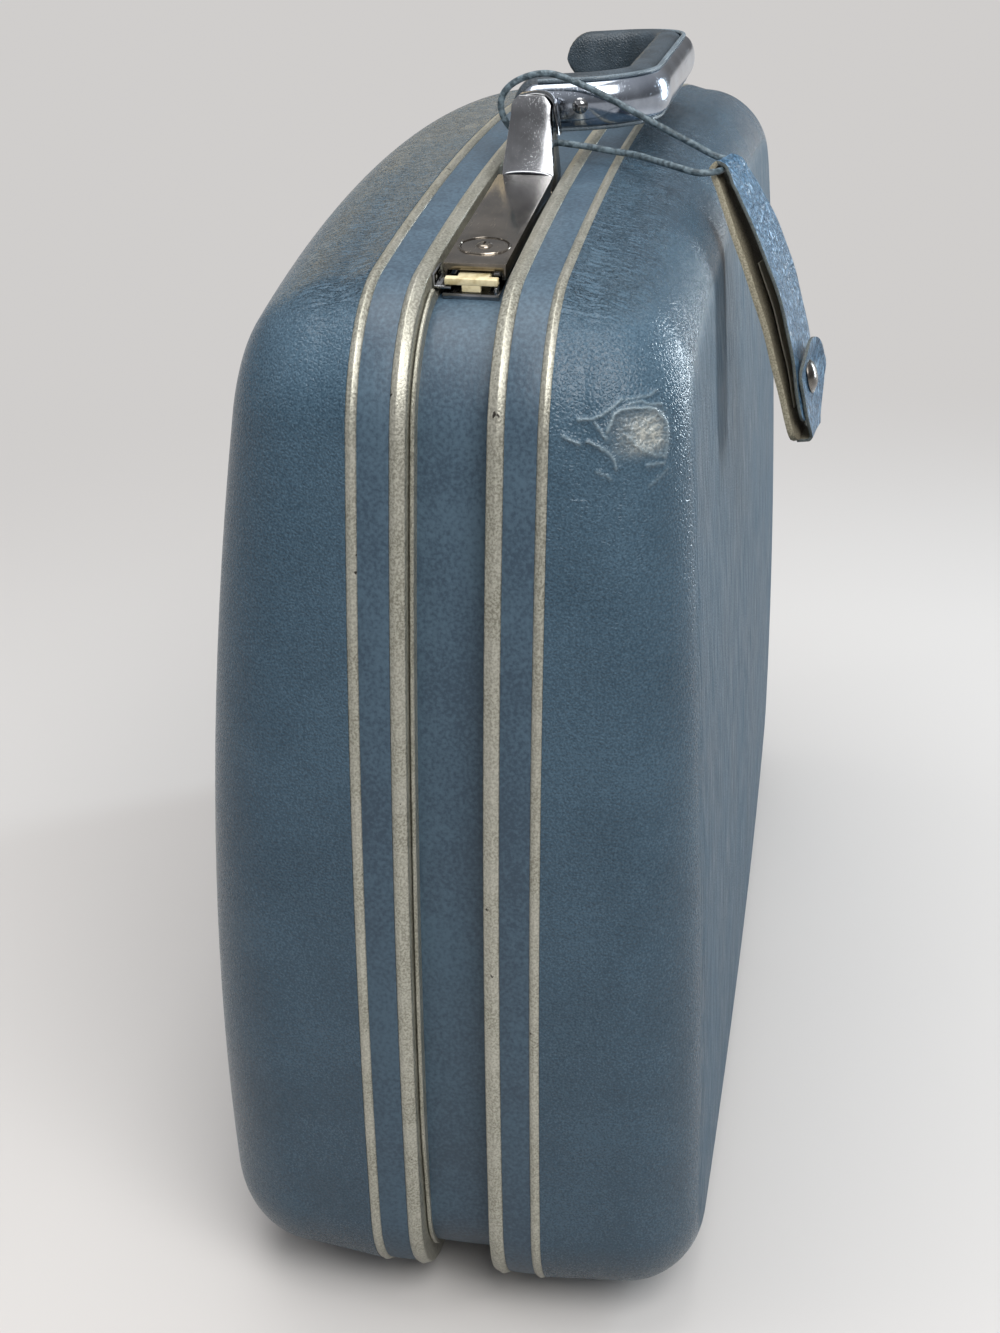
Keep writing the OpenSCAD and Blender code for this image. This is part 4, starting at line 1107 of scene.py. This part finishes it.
for body, face, side in (("body", body_face, 1), ("lid", lid_face, -1)):
    rings = inside_rings(face, lining_rim, lining_out)[::-1] + inside_rings(face, lining_rim, lining_in)
    lining = lofted(rings, face_middle(face, lining_out), face_middle(face, lining_in), side)
    make_piece(body + "_lining_cloth", *lining, satin, body, "lining_satin", body + "_lining",
                               sharp=50)
    body + "_shell"

# Lid pocket: a panel of the linings' satin gathered onto an elastic hem. It is sewn to the lid's lining
# down its sides and along its foot.
pocket_half = 0.200
pocket_low = 0.064
pocket_top = 0.223
hem_top = 0.235
pocket_skin = 0.0062


def pocket_point(x, z, lift):
    """A point of the pocket, lift metres off the lid's lining towards the inside."""
    return (x, -(depth(lid_face, pocket_half, z) - pocket_skin - lift), z)


def gathered_panel(z0, z1, rows, fold, foot, thick):
    """A gathered cloth panel: folds of the given height that die out towards its foot by the share foot."""
    columns = 260
    verts = []
    for i in range(rows + 1):
        z = z0 + (z1 - z0) * i / rows
        rise = foot + (1 - foot) * i / rows
        for front in (0, 1):
            for j in range(columns + 1):
                x = -pocket_half + 2 * pocket_half * j / columns
                wave = math.sin(x * 420 + 0.9 * math.sin(x * 61))
                wave += 0.35 * math.sin(x * 905 + 2 * math.sin(x * 37))
                side_seam = min(1, (pocket_half - abs(x)) / 0.012)
                lift = 0.0004 + fold * rise * side_seam * (1 + wave / 1.35) / 2
                verts.append(pocket_point(x, z, lift + thick * front))
    stride = 2 * (columns + 1)
    faces = []
    for i in range(rows):
        for j in range(columns):
            for base in (0, columns + 1):
                a = i * stride + base + j
                faces.append((a, a + 1, a + 1 + stride, a + stride))
        for j in (0, columns):
            a = i * stride + j
            faces.append((a, a + columns + 1, a + columns + 1 + stride, a + stride))
    for i in (0, rows):
        for j in range(columns):
            a = i * stride + j
            faces.append((a, a + 1, a + columns + 2, a + columns + 1))
    return verts, faces


pocket_panel = gathered_panel(pocket_low, pocket_top, 40, 0.0032, 0.15, 0.0007)
hem_panel = gathered_panel(pocket_top, hem_top, 8, 0.0030, 1.0, 0.0018)
pocket = make_piece("lid_pocket_cloth", *pocket_panel, satin, "lid", "lining_satin", "lid_pocket", sharp=60)
hem = make_piece("pocket_hem", *hem_panel, satin, "lid", "lining_satin", "pocket_elastic", sharp=60)

# Packing straps: two lengths of woven webbing, each through a chromed slide. They are sewn to the body's
# lining at top and bottom.
strap_x = 0.110
strap_half = 0.016
strap_low = 0.064
strap_high = 0.3956
strap_seat = 0.0051
strap_t = 0.0016


def webbing_weave():
    """Webbing: a coarse plain weave, with painted shade darkening the gaps between its ribs."""
    made = start_material("strap_webbing", 0.75)
    ribs = add_node(made, "ShaderNodeTexWave", "Fac", {"bands_direction": "Z"},
                    {"Vector": object_place(made), "Scale": 190.0, "Distortion": 0.4})
    yarn = noise(made, 1, 3, (1600, 1600, 420))
    # Darker where the ribs dip: painted shade in the gaps between them.
    colour = (ribs + yarn).fade(0.5, 1.4).mix((0.025, 0.035, 0.05), (0.09, 0.12, 0.16))
    return finish_material(made, colour=colour, normal=bumps(made, (ribs, 0.0004, 0.8)))


strap_heights = [strap_low + (strap_high - strap_low) * i / 48 for i in range(49)]
strap_run = [(depth(body_face, strap_x + strap_half, z) - strap_seat - strap_t / 2, z) for z in strap_heights]
edge_turns = [math.pi * (k / 4 - 0.5) for k in range(5)]
strap_section = [(strap_half - strap_t / 2 * (1 - math.cos(t)), strap_t / 2 * math.sin(t))
                 for t in edge_turns]
strap_section += [(-s, -u) for s, u in strap_section]
straps = joined(swept_tube([Vector((side * strap_x, y, z)) for y, z in strap_run], strap_section, (1, 0, 0))
                for side in (1, -1))
make_piece("packing_strap_webs", *straps, webbing_weave(), "body", "webbing", "packing_straps")
finished_copy("strap_buckles", bright_chrome, 0.0006, 3)

# Floor and light: a pale studio floor, a lamp ahead of the near end, one overhead, an upright soft light
# behind the body's side that runs along its rounded edge, and two weak ones behind and beside the lid for
# the sheen on its top and the metal's edges. Away from the case the floor keeps one even pale tone.
floor_mesh = bpy.data.meshes.new("floor")
floor_reach = 14
floor_mesh.from_pydata([(-floor_reach, -floor_reach, 0), (floor_reach, -floor_reach, 0),
                        (floor_reach, floor_reach, 0), (-floor_reach, floor_reach, 0)], [], [(0, 1, 2, 3)])
floor_tone = (0.63, 0.615, 0.605)
floor_finish = start_material("floor_finish", 0.8)
camera_ray = add_node(floor_finish, "ShaderNodeLightPath", "Is Camera Ray")
glossy_ray, passing_ray = (Wire(floor_finish, camera_ray.socket.node.outputs[name])
                           for name in ("Is Glossy Ray", "Is Transmission Ray"))
seen = camera_ray.maths("MAXIMUM", glossy_ray.maths("MAXIMUM", passing_ray))
off_case = add_node(floor_finish, "ShaderNodeVectorMath", "Value", {"operation": "LENGTH"},
                    {0: object_place(floor_finish)})
cloudy = noise(floor_finish, 3).mix(floor_tone, (0.65, 0.635, 0.625))
finish_material(floor_finish, colour=seen.mix((0.12, 0.117, 0.115), cloudy))
floor_nodes = floor_finish.node_tree.nodes
lit_floor = Wire(floor_finish, floor_nodes["Principled BSDF"].outputs["BSDF"])
even_floor = add_node(floor_finish, "ShaderNodeEmission", "Emission", {},
                      {"Color": (*floor_tone, 1), "Strength": 1.0})
floor_mix = add_node(floor_finish, "ShaderNodeMixShader", "Shader", {},
                     {0: off_case.fade(0.45, 1.3) * seen, 1: lit_floor, 2: even_floor})
floor_finish.node_tree.links.new(floor_mix.socket, floor_nodes["Material Output"].inputs["Surface"])
floor_mesh.materials.append(floor_finish)
floor = bpy.data.objects.new("floor", floor_mesh)
scene.collection.objects.link(floor)


def soft_light(name, place, target, size, power, colour):
    lamp = bpy.data.lights.new(name, "AREA")
    lamp.shape = "RECTANGLE"
    lamp.size, lamp.size_y = size
    lamp.energy = power
    lamp.color = colour
    light = bpy.data.objects.new(name, lamp)
    light.location = place
    light.rotation_mode = "QUATERNION"
    light.rotation_quaternion = (Vector(target) - Vector(place)).to_track_quat("-Z", "Y")
    scene.collection.objects.link(light)


soft_light("front_light", (1.25, 0.64, 1.65), (0.3, 0.02, 0.42), (1.1, 1.1), 28, (1.0, 0.985, 0.96))
soft_light("edge_light", (-1.30, 1.35, 0.60), (0.2, 0.08, 0.40), (0.24, 0.9), 18, (0.82, 0.93, 1.0))
soft_light("top_light", (0.1, -0.3, 2.2), (0.1, 0.0, 0.4), (1.4, 1.4), 20, (1.0, 0.99, 0.97))
soft_light("back_light", (-1.75, -0.75, 0.62), (0.1, -0.08, 0.45), (0.9, 0.35), 0.85, (1.0, 0.82, 0.50))
soft_light("side_light", (0.7, -1.7, 1.1), (0.12, 0.0, 0.46), (0.12, 1.1), 1.6, (1.0, 0.97, 0.94))

world = bpy.data.worlds.new("studio")
scene.world = world
world.use_nodes = True
sky_way = add_node(world, "ShaderNodeTexCoord", "Generated")
sky_height = add_node(world, "ShaderNodeSeparateXYZ", "Z", {}, {"Vector": sky_way})
sky = world.node_tree.nodes["Background"]
sky.inputs["Color"].default_value = (0.86, 0.86, 0.88, 1)
world.node_tree.links.new(sky_height.fade(-0.1, 0.8, 0.16, 0.60).socket, sky.inputs["Strength"])
scene.view_settings.view_transform = "Standard"
